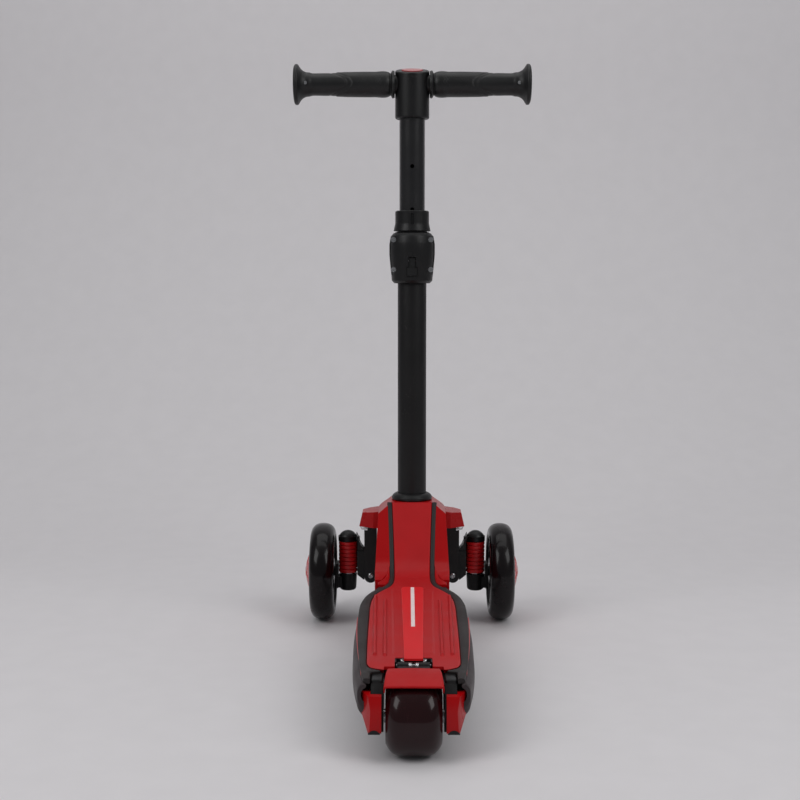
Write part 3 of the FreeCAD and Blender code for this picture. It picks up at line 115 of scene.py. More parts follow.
def run_through(knots: list[tuple[float, float]], at: np.ndarray) -> np.ndarray:
    """Smooth value along a run: a cubic between neighbouring knots with slopes from their neighbours.

    Args:
        knots: (place, value) pairs in rising order of place.
        at: places wanted.

    Returns:
        The values, held at the end values outside the run.
    """
    place, value = np.array(knots, float).T
    slope = np.gradient(value, place)
    spot = np.clip(at, place[0], place[-1])
    cell = np.clip(np.searchsorted(place, spot, side="right") - 1, 0, len(place) - 2)
    width = place[cell + 1] - place[cell]
    t = (spot - place[cell]) / width
    return (value[cell] * (2 * t ** 3 - 3 * t ** 2 + 1) + slope[cell] * width * (t ** 3 - 2 * t ** 2 + t)
            + value[cell + 1] * (3 * t ** 2 - 2 * t ** 3) + slope[cell + 1] * width * (t ** 3 - t ** 2))


def ease(t: np.ndarray) -> np.ndarray:
    """Smooth step: nought below 0, one above 1, level at both ends."""
    t = np.clip(t, 0.0, 1.0)
    return t * t * (3 - 2 * t)


def soft_outline(points: np.ndarray, radius: float, steps: int = 4, closed: bool = True) -> np.ndarray:
    """Outline with each corner replaced by a quadratic arc that starts and ends a radius away from it.

    Args:
        points: corners, of shape (..., corners, 2).
        radius: reach of each arc, at most 0.45 of the shorter edge beside it.
        steps: points in each arc.
        closed: whether the last corner joins the first.

    Returns:
        The rounded outline, of shape (..., corners * steps, 2).
    """
    points = np.asarray(points, float)
    before = np.roll(points, 1, axis=-2)
    after = np.roll(points, -1, axis=-2)
    if not closed:
        before[..., 0, :] = points[..., 0, :]
        after[..., -1, :] = points[..., -1, :]
    back, ahead = before - points, after - points
    back_length = np.linalg.norm(back, axis=-1, keepdims=True)
    ahead_length = np.linalg.norm(ahead, axis=-1, keepdims=True)
    reach = np.minimum(radius, 0.45 * np.minimum(back_length, ahead_length))
    start = points + back / np.maximum(back_length, 1e-9) * reach
    end = points + ahead / np.maximum(ahead_length, 1e-9) * reach
    t = np.linspace(0, 1, steps)[:, None]
    arcs = ((1 - t) ** 2 * start[..., None, :] + 2 * t * (1 - t) * points[..., None, :]
            + t ** 2 * end[..., None, :])
    return arcs.reshape(*points.shape[:-2], -1, 2)


def grid_faces(rows: int, cols: int, close_rows: bool, close_cols: bool) -> np.ndarray:
    """Four-sided faces of a grid of points.

    Args:
        rows: points along the first parameter.
        cols: points along the second parameter.
        close_rows: whether the last row joins the first.
        close_cols: whether the last column joins the first.

    Returns:
        Point numbers of each face, of shape (faces, 4).
    """
    index = np.arange(rows * cols).reshape(rows, cols)
    if close_rows:
        index = np.vstack([index, index[:1]])
    if close_cols:
        index = np.hstack([index, index[:, :1]])
    corners = [index[:-1, :-1], index[1:, :-1], index[1:, 1:], index[:-1, 1:]]
    return np.stack(corners, axis=-1).reshape(-1, 4)


def grid_surface(points: np.ndarray, close_rows: bool = False, close_cols: bool = False) -> Surface:
    """Surface from a grid of points of shape (rows, columns, 3)."""
    rows, cols = points.shape[:2]
    return points.reshape(-1, 3), grid_faces(rows, cols, close_rows, close_cols)


def turned(profile: np.ndarray, centre: tuple[float, float, float], axis: Axis, segments: int = 96,
           closed: bool = True) -> Surface:
    """Turned surface: each (along, radius) point of the profile sweeps a circle round the axis.

    Args:
        profile: (along, radius) points.
        centre: origin of the profile.
        axis: direction that it is turned about.
        segments: points round the circle.
        closed: whether the profile's last point joins its first.

    Returns:
        The surface.
    """
    profile = np.asarray(profile, float)
    angle = np.linspace(0, FULL_TURN, segments, endpoint=False)
    along = np.broadcast_to(profile[:, :1], (len(profile), segments))
    across = profile[:, 1:] * np.cos(angle)
    up = profile[:, 1:] * np.sin(angle)
    order = {Axis.X: (along, across, up), Axis.Y: (across, along, up), Axis.Z: (across, up, along)}[axis]
    return grid_surface(np.stack(order, axis=-1) + np.array(centre), close_rows=closed, close_cols=True)


def rounded_block(centre: tuple[float, float, float], half: tuple[float, float, float], radius: float,
                  axis: Axis = Axis.X, steps: int = 4) -> Surface:
    """Block with every edge rounded: a rounded rectangle carried along the axis, drawn in at both ends by a
    quarter circle.

    Args:
        centre: middle of the block.
        half: half sizes along X, Y and Z.
        radius: rounding of the edges.
        axis: direction that the section is carried along.
        steps: points in each quarter circle.

    Returns:
        The surface, open at its two flat ends.
    """
    order = axis.order
    length, wide, tall = (half[k] for k in order)
    radius = min(radius, 0.98 * min(length, wide, tall))
    quarter = np.linspace(0, math.pi / 2, steps)
    corner = np.concatenate([quarter + k * math.pi / 2 for k in range(4)])
    sign_wide = np.repeat([1, -1, -1, 1], steps)
    sign_tall = np.repeat([1, 1, -1, -1], steps)
    rise = np.concatenate([np.sin(quarter), np.sin(quarter)[::-1]])
    draw_in = radius * (1 - np.cos(quarter))
    along = np.concatenate([-length + draw_in, (length - draw_in)[::-1]])
    points = np.zeros((len(along), len(corner), 3))
    points[..., order[0]] = along[:, None]
    points[..., order[1]] = sign_wide * (wide - radius) + radius * rise[:, None] * np.cos(corner)
    points[..., order[2]] = sign_tall * (tall - radius) + radius * rise[:, None] * np.sin(corner)
    return grid_surface(points + np.array(centre), close_cols=True)


def swept_tube(path: np.ndarray, radius: float, sides: int = 12) -> Surface:
    """Round wire along a path: a circle square to the path's direction at each of its points.

    Args:
        path: points of the centreline, of shape (points, 3).
        radius: radius of the wire.
        sides: points round the wire.

    Returns:
        The surface, open at its ends.
    """
    tangent = np.gradient(path, axis=0)
    tangent /= np.linalg.norm(tangent, axis=1, keepdims=True)
    guide = np.array([0.13, 0.27, 1.0]) if abs(tangent[:, 2]).mean() < 0.7 else np.array([1.0, 0.21, 0.11])
    first = np.cross(tangent, guide)
    first /= np.linalg.norm(first, axis=1, keepdims=True)
    second = np.cross(tangent, first)
    angle = np.linspace(0, FULL_TURN, sides, endpoint=False)
    ring = first[:, None] * np.cos(angle)[:, None] + second[:, None] * np.sin(angle)[:, None]
    return grid_surface(path[:, None] + radius * ring, close_cols=True)


def flipped(surface: Surface) -> Surface:
    """The same surface on the other side of the scooter."""
    points, faces = surface
    return points * np.array([-1, 1, 1]), faces[:, ::-1]


def both_sides(*surfaces: Surface) -> list[Surface]:
    """Each surface and its mirror image."""
    return list(surfaces) + [flipped(s) for s in surfaces]


def hexagon(across: float, bevel: float) -> np.ndarray:
    """Corners of a hexagon, softened, as (a, b) points."""
    angle = np.linspace(0, FULL_TURN, 6, endpoint=False)
    return soft_outline(across * np.stack([np.cos(angle), np.sin(angle)], axis=-1), bevel, 3)


def carried(outline: np.ndarray, stations: np.ndarray, shrink: np.ndarray, centre: tuple[float, float, float],
            axis: Axis) -> Surface:
    """Outline carried along an axis and scaled by shrink at each station.

    Args:
        outline: (a, b) points round the section.
        stations: places along the axis.
        shrink: scale of the section at each station.
        centre: origin.
        axis: direction that the outline is carried along.

    Returns:
        The surface, open at its two ends.
    """
    order = axis.order
    points = np.zeros((len(stations), len(outline), 3))
    points[..., order[0]] = np.asarray(stations, float)[:, None]
    points[..., order[1]] = outline[:, 0] * np.asarray(shrink, float)[:, None]
    points[..., order[2]] = outline[:, 1] * np.asarray(shrink, float)[:, None]
    return grid_surface(points + np.array(centre), close_cols=True)


def sections_of(corners: list[tuple], radius: float, steps: int) -> np.ndarray:
    """Rounded closed section at each station.

    Args:
        corners: the two coordinates of each corner, each one an array with a value for every station.
        radius: rounding of the corners.
        steps: points in each rounding.

    Returns:
        The sections, of shape (stations, points, 2).
    """
    return soft_outline(np.stack([np.stack(c, axis=-1) for c in corners], axis=1), radius, steps)


def along_y(y: np.ndarray, sections: np.ndarray) -> Surface:
    """Surface through (x, z) sections set at the places y."""
    place = np.broadcast_to(y[:, None], sections.shape[:2])
    return grid_surface(np.stack([sections[..., 0], place, sections[..., 1]], axis=-1), close_cols=True)


def rings_along_x(x: np.ndarray, radius: np.ndarray, angle: np.ndarray) -> np.ndarray:
    """Points of circles about the X axis, from the top round towards +Y.

    Args:
        x: place of each circle, as a column or a full grid.
        radius: radius at each point, as a column or a full grid.
        angle: angles round the circle.

    Returns:
        The points, of shape (circles, angles, 3).
    """
    return np.stack([x * np.ones_like(angle), radius * np.sin(angle), radius * np.cos(angle)], axis=-1)


# ---------------------------------------------------------------- meshes

def close_mesh(mesh: bpy.types.Mesh) -> None:
    """Merge doubled points, close open ends and turn every face outwards."""
    work = bmesh.new()
    work.from_mesh(mesh)
    bmesh.ops.remove_doubles(work, verts=work.verts, dist=2e-6)
    bmesh.ops.dissolve_degenerate(work, edges=work.edges, dist=1e-7)
    rim = [e for e in work.edges if e.is_boundary]
    if rim:
        bmesh.ops.holes_fill(work, edges=rim, sides=0)
    bmesh.ops.recalc_face_normals(work, faces=work.faces)
    work.to_mesh(mesh)
    work.free()


def make_piece(name: str, surfaces: list[Surface]) -> bpy.types.Object:
    """Object from one or more surfaces, closed and smooth apart from its sharp edges.

    Args:
        name: name of the piece.
        surfaces: points in millimetres and faces of each surface.

    Returns:
        The object, at the origin.
    """
    starts = np.cumsum([0] + [len(points) for points, _ in surfaces[:-1]])
    points = np.vstack([points for points, _ in surfaces]) * MM
    faces = np.vstack([quads + start for (_, quads), start in zip(surfaces, starts)])
    mesh = bpy.data.meshes.new(name)
    mesh.vertices.add(len(points))
    mesh.vertices.foreach_set("co", points.astype(np.float32).ravel())
    mesh.loops.add(faces.size)
    mesh.loops.foreach_set("vertex_index", faces.astype(np.int32).ravel())
    mesh.polygons.add(len(faces))
    mesh.polygons.foreach_set("loop_start", np.arange(0, faces.size, 4, dtype=np.int32))
    mesh.update(calc_edges=True)
    mesh.validate()
    close_mesh(mesh)
    mesh.shade_smooth()
    mesh.set_sharp_from_angle(angle=SHARP_EDGE)
    piece = bpy.data.objects.new(name, mesh)
    bpy.context.scene.collection.objects.link(piece)
    return piece


def applied(piece: bpy.types.Object) -> bpy.types.Object:
    """The piece with its modifiers made part of its mesh."""
    depsgraph = bpy.context.evaluated_depsgraph_get()
    mesh = bpy.data.meshes.new_from_object(piece.evaluated_get(depsgraph))
    piece.modifiers.clear()
    piece.data = mesh
    return piece


def cut_away(piece: bpy.types.Object, cutters: list[Surface]) -> bpy.types.Object:
    """The piece with the closed cutters taken out of it, one after another."""
    for cutter in cutters:
        tool = make_piece("cutter", [cutter])
        cut = piece.modifiers.new("cut", "BOOLEAN")
        cut.object = tool
        cut.operation = "DIFFERENCE"
        cut.solver = "MANIFOLD"
        applied(piece)
        bpy.data.objects.remove(tool)
    piece.data.shade_smooth()
    piece.data.set_sharp_from_angle(angle=SHARP_EDGE)
    return piece


def softened(node: str, name: str, width: float, segments: int = 3, angle: float = 30.0) -> bpy.types.Object:
    """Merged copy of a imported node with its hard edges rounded.

    Args:
        node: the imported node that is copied.
        name: name of the new piece.
        width: width of the rounding.
        segments: faces across the rounding.
        angle: edges turned by more than this many degrees are rounded.

    Returns:
        The new object.
    """
    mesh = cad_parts[node].data.copy()
    mesh.name = name
    custom = mesh.attributes.get("custom_normal")
    if custom:
        mesh.attributes.remove(custom)
    work = bmesh.new()
    work.from_mesh(mesh)
    bmesh.ops.remove_doubles(work, verts=work.verts, dist=2e-6)
    bmesh.ops.dissolve_limit(work, angle_limit=math.radians(0.4), verts=work.verts, edges=work.edges)
    bmesh.ops.recalc_face_normals(work, faces=work.faces)
    work.to_mesh(mesh)
    work.free()
    mesh.shade_smooth()
    piece = bpy.data.objects.new(name, mesh)
    bpy.context.scene.collection.objects.link(piece)
    bevel = piece.modifiers.new("rounding", "BEVEL")
    bevel.width = width * MM
    bevel.segments = segments
    bevel.limit_method = "ANGLE"
    bevel.angle_limit = math.radians(angle)
    bevel.use_clamp_overlap = True
    weigh = piece.modifiers.new("weighting", "WEIGHTED_NORMAL")
    weigh.keep_sharp = True
    return piece


# ---------------------------------------------------------------- shader groups

class Bench:
    """A node tree, with short ways to add and join its nodes."""

    def __init__(self, tree: bpy.types.NodeTree) -> None:
        """Keep the tree that nodes are added to."""
        self.tree = tree

    def add(self, kind: str, inputs: dict | None = None, **settings: object) -> bpy.types.Node:
        """New node.

        Args:
            kind: type of the node.
            inputs: values, or sockets to join, by input name or number.
            settings: the node's own settings.

        Returns:
            The node.
        """
        node = self.tree.nodes.new(kind)
        for key, value in settings.items():
            setattr(node, key, value)
        for key, value in (inputs or {}).items():
            if isinstance(value, bpy.types.NodeSocket):
                self.tree.links.new(value, node.inputs[key])
            else:
                node.inputs[key].default_value = value
        return node

    def sum(self, operation: str, a: object, b: object = 0.0, clamp: bool = False) -> bpy.types.NodeSocket:
        """Result of a sum of two numbers or sockets."""
        return self.add("ShaderNodeMath", {0: a, 1: b}, operation=operation, use_clamp=clamp).outputs[0]

    def blend(self, share: object, a: object, b: object) -> bpy.types.NodeSocket:
        """Colour between a and b by share."""
        node = self.add("ShaderNodeMix", {0: share, 6: a, 7: b}, data_type="RGBA")
        return node.outputs[2]

    def spread(self, value: object, low: float, high: float, to_low: float, to_high: float) -> bpy.types.NodeSocket:
        """Value moved from one range to another and held inside it."""
        return self.add("ShaderNodeMapRange", {0: value, 1: low, 2: high, 3: to_low, 4: to_high}).outputs[0]


def new_group(name: str, inputs: dict[str, tuple[str, object]],
              outputs: list[str]) -> tuple[bpy.types.NodeTree, Bench, dict, bpy.types.Node]:
    """Empty shader group with named sockets.

    Args:
        name: name of the group.
        inputs: kind and starting value of each input.
        outputs: names of its number outputs.

    Returns:
        The tree, its bench, the sockets of its inputs and its output node.
    """
    tree = bpy.data.node_groups.new(name, "ShaderNodeTree")
    for label, (kind, value) in inputs.items():
        socket = tree.interface.new_socket(name=label, in_out="INPUT", socket_type=kind)
        if value is not None:
            socket.default_value = value
    for label in outputs:
        tree.interface.new_socket(name=label, in_out="OUTPUT", socket_type="NodeSocketFloat")
    bench = Bench(tree)
    source = bench.add("NodeGroupInput")
    sink = bench.add("NodeGroupOutput")
    return tree, bench, {label: source.outputs[label] for label in inputs}, sink


class Effects:
    """The shared effects, each built once and then placed in every material that uses it."""

    def __init__(self) -> None:
        """Build the groups."""
        self.grain = self.build_grain()
        self.wear = self.build_wear()
        self.dust = self.build_dust()

    @staticmethod
    def build_grain() -> bpy.types.NodeTree:
        """Fine texture: soft noise with small cells in it, and a slow mottle of the whole surface."""
        tree, bench, given, sink = new_group(
            "FineGrain", {"Vector": ("NodeSocketVector", None), "Scale": ("NodeSocketFloat", 900.0),
                          "Mottle Scale": ("NodeSocketFloat", 30.0), "Cells": ("NodeSocketFloat", 0.4)},
            ["Height", "Mottle"])
        noise = bench.add("ShaderNodeTexNoise", {"Vector": given["Vector"], "Scale": given["Scale"], "Detail": 2.0})
        cells = bench.add("ShaderNodeTexVoronoi", {"Vector": given["Vector"], "Scale": given["Scale"]},
                          feature="SMOOTH_F1")
        slow = bench.add("ShaderNodeTexNoise",
                         {"Vector": given["Vector"], "Scale": given["Mottle Scale"], "Detail": 4.0})
        cell_part = bench.sum("MULTIPLY", cells.outputs["Distance"], given["Cells"])
        height = bench.sum("SUBTRACT", noise.outputs[0], cell_part)
        bench.tree.links.new(height, sink.inputs["Height"])
        bench.tree.links.new(bench.spread(slow.outputs[0], 0.35, 0.65, 0.0, 1.0), sink.inputs["Mottle"])
        return tree

    @staticmethod
    def build_wear() -> bpy.types.NodeTree:
        """Rub marks: small specks where two noises are both high, and a few thin scratches."""
        tree, bench, given, sink = new_group(
            "RubMarks", {"Vector": ("NodeSocketVector", None), "Amount": ("NodeSocketFloat", 0.5),
                         "Scratches": ("NodeSocketFloat", 0.2)}, ["Mask"])
        area = bench.add("ShaderNodeTexNoise", {"Vector": given["Vector"], "Scale": 22.0, "Detail": 2.0})
        broken = bench.add("ShaderNodeTexNoise", {"Vector": given["Vector"], "Scale": 420.0, "Detail": 4.0})
        rubbed = bench.sum("MULTIPLY", bench.spread(area.outputs[0], 0.58, 0.72, 0.0, 1.0),
                           bench.spread(broken.outputs[0], 0.60, 0.72, 0.0, 1.0))
        rubbed = bench.sum("MULTIPLY", rubbed, given["Amount"])
        stretch = bench.add("ShaderNodeMapping", {"Vector": given["Vector"], "Rotation": (0.3, 0.2, 0.5),
                                                  "Scale": (900.0, 60.0, 60.0)})
        thin = bench.add("ShaderNodeTexNoise", {"Vector": stretch.outputs[0], "Scale": 1.0, "Detail": 1.0})
        lines = bench.sum("MULTIPLY", bench.spread(thin.outputs[0], 0.70, 0.76, 0.0, 1.0), given["Scratches"])
        bench.tree.links.new(bench.sum("MAXIMUM", rubbed, lines), sink.inputs["Mask"])
        return tree

    @staticmethod
    def build_dust() -> bpy.types.NodeTree:
        """Dust: faces that look up, broken up by soft noise."""
        tree, bench, given, sink = new_group(
            "LightDust", {"Vector": ("NodeSocketVector", None), "Amount": ("NodeSocketFloat", 0.1)}, ["Mask"])
        facing = bench.add("ShaderNodeSeparateXYZ", {0: bench.add("ShaderNodeTexCoord").outputs["Normal"]})
        upward = bench.spread(facing.outputs["Z"], 0.2, 0.95, 0.0, 1.0)
        patch = bench.add("ShaderNodeTexNoise", {"Vector": given["Vector"], "Scale": 45.0, "Detail": 6.0})
        soft = bench.sum("MULTIPLY", upward, bench.spread(patch.outputs[0], 0.3, 0.8, 0.2, 1.0))
        bench.tree.links.new(bench.sum("MULTIPLY", soft, given["Amount"], True), sink.inputs["Mask"])
        return tree


EFFECTS = Effects()


def linear(colour: tuple[int, int, int]) -> tuple[float, float, float, float]:
    """Screen colour of 0 to 255 as linear light."""
    level = np.array(colour) / 255.0
    light = np.where(level <= 0.04045, level / 12.92, ((level + 0.055) / 1.055) ** 2.4)
    return (*light.tolist(), 1.0)


def start_material(name: str) -> tuple[bpy.types.Material, Bench, bpy.types.NodeSocket]:
    """Empty node material.

    Args:
        name: name of the material.

    Returns:
        The material, the bench of its nodes and its Object coordinates.
    """
    made = bpy.data.materials.new(name)
    made.use_nodes = True
    made.node_tree.nodes.clear()
    bench = Bench(made.node_tree)
    return made, bench, bench.add("ShaderNodeTexCoord").outputs["Object"]


# ---------------------------------------------------------------- finishes

@dataclass(frozen=True)
class Finish:
    """One opaque finish: colour and mottle, gloss, fine grain, rub marks and dust."""

    name: str
    slot: str
    colour: tuple[int, int, int]
    mottle: float = 0.10
    roughness: tuple[float, float] = (0.32, 0.42)
    metallic: float = 0.0
    coat: float = 0.0
    coat_roughness: float = 0.12
    grain: Grain = Grain.MOULDED
    grain_scale: float = 1400.0
    grain_depth: float = 0.12
    wear: float = 0.25
    wear_colour: tuple[int, int, int] = (150, 140, 138)
    dust: float = 0.012
    specular: float = 0.5

    def material(self) -> bpy.types.Material:
        """The finish's material, built the first time it is asked for."""
        made = bpy.data.materials.get(self.name)
        return made if made else self.build()

    def build(self) -> bpy.types.Material:
        """Build the material.

        Returns:
            A material on Object coordinates.
        """
        made, bench, place = start_material(self.name)
        if self.grain is Grain.BRUSHED:
            place = bench.add("ShaderNodeMapping", {"Vector": place, "Scale": (1.0, 12.0, 12.0)}).outputs[0]
        cells = {Grain.MOULDED: 0.35, Grain.BRUSHED: 0.0, Grain.CAST: 0.9}[self.grain]
        grain = bench.add("ShaderNodeGroup", {"Vector": place, "Scale": self.grain_scale, "Mottle Scale": 28.0,
                                              "Cells": cells}, node_tree=EFFECTS.grain)
        rub = bench.add("ShaderNodeGroup", {"Vector": place, "Amount": self.wear, "Scratches": self.wear * 0.35},
                        node_tree=EFFECTS.wear).outputs["Mask"]
        dust = bench.add("ShaderNodeGroup", {"Vector": place, "Amount": self.dust},
                         node_tree=EFFECTS.dust).outputs["Mask"]
        full = linear(self.colour)
        dark = (*[c * (1 - self.mottle) for c in full[:3]], 1.0)
        colour = bench.blend(grain.outputs["Mottle"], dark, full)
        colour = bench.blend(rub, colour, linear(self.wear_colour))
        colour = bench.blend(dust, colour, linear((176, 170, 164)))
        gloss = bench.spread(grain.outputs["Mottle"], 0.0, 1.0, *self.roughness)
        gloss = bench.sum("ADD", gloss, bench.sum("MULTIPLY", bench.sum("MAXIMUM", rub, dust), 0.35), True)
        relief = bench.add("ShaderNodeBump", {"Strength": self.grain_depth, "Distance": 0.0003,
                                              "Height": grain.outputs["Height"]})
        shader = bench.add("ShaderNodeBsdfPrincipled", {
            "Base Color": colour, "Roughness": gloss, "Normal": relief.outputs[0], "Metallic": self.metallic,
            "Coat Weight": self.coat, "Coat Roughness": self.coat_roughness, "Specular IOR Level": self.specular})
        bench.add("ShaderNodeOutputMaterial", {"Surface": shader.outputs[0]})
        return made


@dataclass(frozen=True)
class LensFinish:
    """Clear moulded plastic."""

    name: str
    slot: str
    colour: tuple[int, int, int] = (235, 238, 240)
    roughness: float = 0.08

    def material(self) -> bpy.types.Material:
        """The lens material, built the first time it is asked for."""
        made = bpy.data.materials.get(self.name)
        if made:
            return made
        made, bench, place = start_material(self.name)
        ripple = bench.add("ShaderNodeTexNoise", {"Vector": place, "Scale": 300.0})
        relief = bench.add("ShaderNodeBump", {"Strength": 0.1, "Distance": 0.0005, "Height": ripple.outputs[0]})
        shader = bench.add("ShaderNodeBsdfPrincipled", {
            "Base Color": linear(self.colour), "Roughness": self.roughness, "Transmission Weight": 0.85,
            "Normal": relief.outputs[0]})
        bench.add("ShaderNodeOutputMaterial", {"Surface": shader.outputs[0]})
        return made


DECK_RED = Finish("deck_red", "red_shell", (184, 12, 19), roughness=(0.42, 0.52), grain_scale=1100.0,
                  grain_depth=0.30, wear=0.10, wear_colour=(214, 96, 92), mottle=0.08, dust=0.02, specular=0.22)
HOOD_RED = Finish("hood_red", "red_shell", (170, 5, 10), roughness=(0.26, 0.34), coat=0.08, grain_depth=0.05,
                  wear=0.06, wear_colour=(206, 70, 66), mottle=0.06, specular=0.16, dust=0.004)
HUB_RED = Finish("hub_red", "red_hub_cap", (196, 24, 30), roughness=(0.20, 0.28), coat=0.30, grain_depth=0.04,
                 wear=0.08, wear_colour=(220, 100, 96))
STRIP_RED = Finish("strip_red", "light_red_strip", (226, 30, 36), roughness=(0.38, 0.46), grain_depth=0.15,
                   wear=0.06, wear_colour=(230, 130, 126), mottle=0.05, specular=0.25)
INLAY_WHITE = Finish("inlay_white", "white_inlay", (252, 236, 234), roughness=(0.35, 0.45), grain_depth=0.06,
                     wear=0.04, mottle=0.05)
BORDER_DARK = Finish("border_dark", "dark_trim", (33, 28, 28), roughness=(0.48, 0.58), grain_scale=1000.0,
                     grain_depth=0.35, wear=0.08, dust=0.012, specular=0.36)
SKIRT_DARK = Finish("skirt_dark", "dark_trim", (52, 43, 45), roughness=(0.42, 0.52), grain_depth=0.25, wear=0.12,
                    dust=0.02, specular=0.32)
LINE_PINK = Finish("line_pink", "pink_line", (206, 84, 86), roughness=(0.4, 0.5), grain_depth=0.05, wear=0.03)
SHELL_BLACK = Finish("shell_black", "black_plastic", (20, 20, 21), roughness=(0.34, 0.44), grain_scale=1300.0,
                     grain_depth=0.20, wear=0.10, specular=0.30)
TUBE_BLACK = Finish("tube_black", "black_tube", (18, 17, 18), roughness=(0.40, 0.48), grain_scale=1600.0,
                    grain_depth=0.08, wear=0.08, specular=0.30)
TUBE_GLOSS = Finish("tube_gloss", "gloss_black_tube", (22, 21, 23), roughness=(0.20, 0.27), grain_depth=0.03,
                    wear=0.06, dust=0.006, coat=0.15)
CASTING = Finish("casting_black", "black_casting", (16, 16, 17), roughness=(0.42, 0.55), grain=Grain.CAST,
                 grain_scale=700.0, grain_depth=0.30, wear=0.15, specular=0.30)
STEEL = Finish("steel_plain", "steel", (176, 176, 178), roughness=(0.22, 0.34), metallic=1.0, grain=Grain.BRUSHED,
               grain_scale=900.0, grain_depth=0.12, wear=0.08)
SPRING = Finish("spring_bright", "spring_steel", (216, 216, 218), roughness=(0.12, 0.22), metallic=1.0,
                grain=Grain.BRUSHED, grain_depth=0.06, wear=0.04)
RACE_STEEL = Finish("bearing_bright", "bearing_steel", (168, 168, 172), roughness=(0.16, 0.26), metallic=1.0,
                    grain=Grain.BRUSHED, grain_depth=0.08, wear=0.04)
SLIDER_WHITE = Finish("slider_white", "white_slider", (214, 212, 206), roughness=(0.45, 0.55), grain_depth=0.10)
GRIP_BLACK = Finish("grip_black", "grip_rubber", (15, 15, 16), roughness=(0.36, 0.46), grain_scale=1800.0,
                    grain_depth=0.30, wear=0.05, specular=0.40)
BELLOWS_RED = Finish("bellows_red", "red_rubber", (206, 20, 27), roughness=(0.36, 0.46), grain_depth=0.12,
                     wear=0.06, wear_colour=(205, 90, 86))
TYRE_MAROON = Finish("tyre_maroon", "maroon_tyre", (34, 5, 8), roughness=(0.20, 0.28), coat=0.28,
                     coat_roughness=0.04, grain_scale=500.0, grain_depth=0.03, wear=0.04, mottle=0.20, specular=0.16)
TYRE_DARK = Finish("tyre_dark", "maroon_tyre", (14, 8, 10), roughness=(0.22, 0.30), coat=0.20,
                   coat_roughness=0.03, grain_scale=500.0, grain_depth=0.03, wear=0.04, mottle=0.20, specular=0.16)
CORE_BLACK = Finish("core_black", "wheel_core", (28, 26, 27), roughness=(0.30, 0.42), grain_depth=0.15, wear=0.10)
LENS_CLEAR = LensFinish("lens_clear", "clear_lens")


def dress(piece: bpy.types.Object, finish: Finish | LensFinish) -> None:
    """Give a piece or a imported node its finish."""
    piece.data.materials.clear()
    piece.data.materials.append(finish.material())


def settle(piece: bpy.types.Object, body: str, finish: Finish | LensFinish, *nodes: str) -> bpy.types.Object:
    """Dress a new piece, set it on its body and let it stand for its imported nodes.

    Args:
        piece: the finished piece.
        body: body that it rides on.
        finish: its finish.
        nodes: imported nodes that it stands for.

    Returns:
        The piece.
    """
    dress(piece, finish)
    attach(piece, body)
    if nodes:
        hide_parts(*nodes)
    LOG.info("%s on %s in %s", piece.name, body, finish.name)
    return piece


def keep_nodes(finish: Finish | LensFinish, *nodes: str) -> None:
    """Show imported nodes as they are, in one finish."""
    for node in nodes:
        dress(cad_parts[node], finish)
        LOG.info("%s kept in %s", node, finish.name)


def settle_soft(node: str, name: str, width: float, body: str, finish: Finish | LensFinish,
                segments: int = 3) -> bpy.types.Object:
    """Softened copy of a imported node, dressed and set on its body in place of the node.

    Args:
        node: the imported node.
        name: name of the new piece.
        width: width of the rounding.
        body: body that it rides on.
        finish: its finish.
        segments: faces across the rounding.

    Returns:
        The new piece.
    """
    return settle(softened(node, name, width, segments), body, finish, node)


# ---------------------------------------------------------------- places

@dataclass(frozen=True)
class Layout:
    """Where the main axes are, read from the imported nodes."""

    stem_y: float
    front_y: float
    front_r: float
    rear_y: float
    rear_r: float
    strut_x: float
    lean_h: float
    bar_h: float

    @classmethod
    def read(cls) -> "Layout":
        """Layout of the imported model."""
        tube_low, tube_high = node_box("lower_tube")
        front_low, front_high = node_box("front_tyre_right")
        rear_low, rear_high = node_box("rear_tyre")
        strut_low, strut_high = node_box("bellows_right")
        lean_low, lean_high = node_box("lean_bushing")
        bar_low, bar_high = node_box("handle_core")
        return cls((tube_low[1] + tube_high[1]) / 2, (front_low[1] + front_high[1]) / 2, front_high[2] / 2,
                   (rear_low[1] + rear_high[1]) / 2, rear_high[2] / 2, (strut_low[0] + strut_high[0]) / 2,
                   (lean_low[2] + lean_high[2]) / 2, (bar_low[2] + bar_high[2]) / 2)


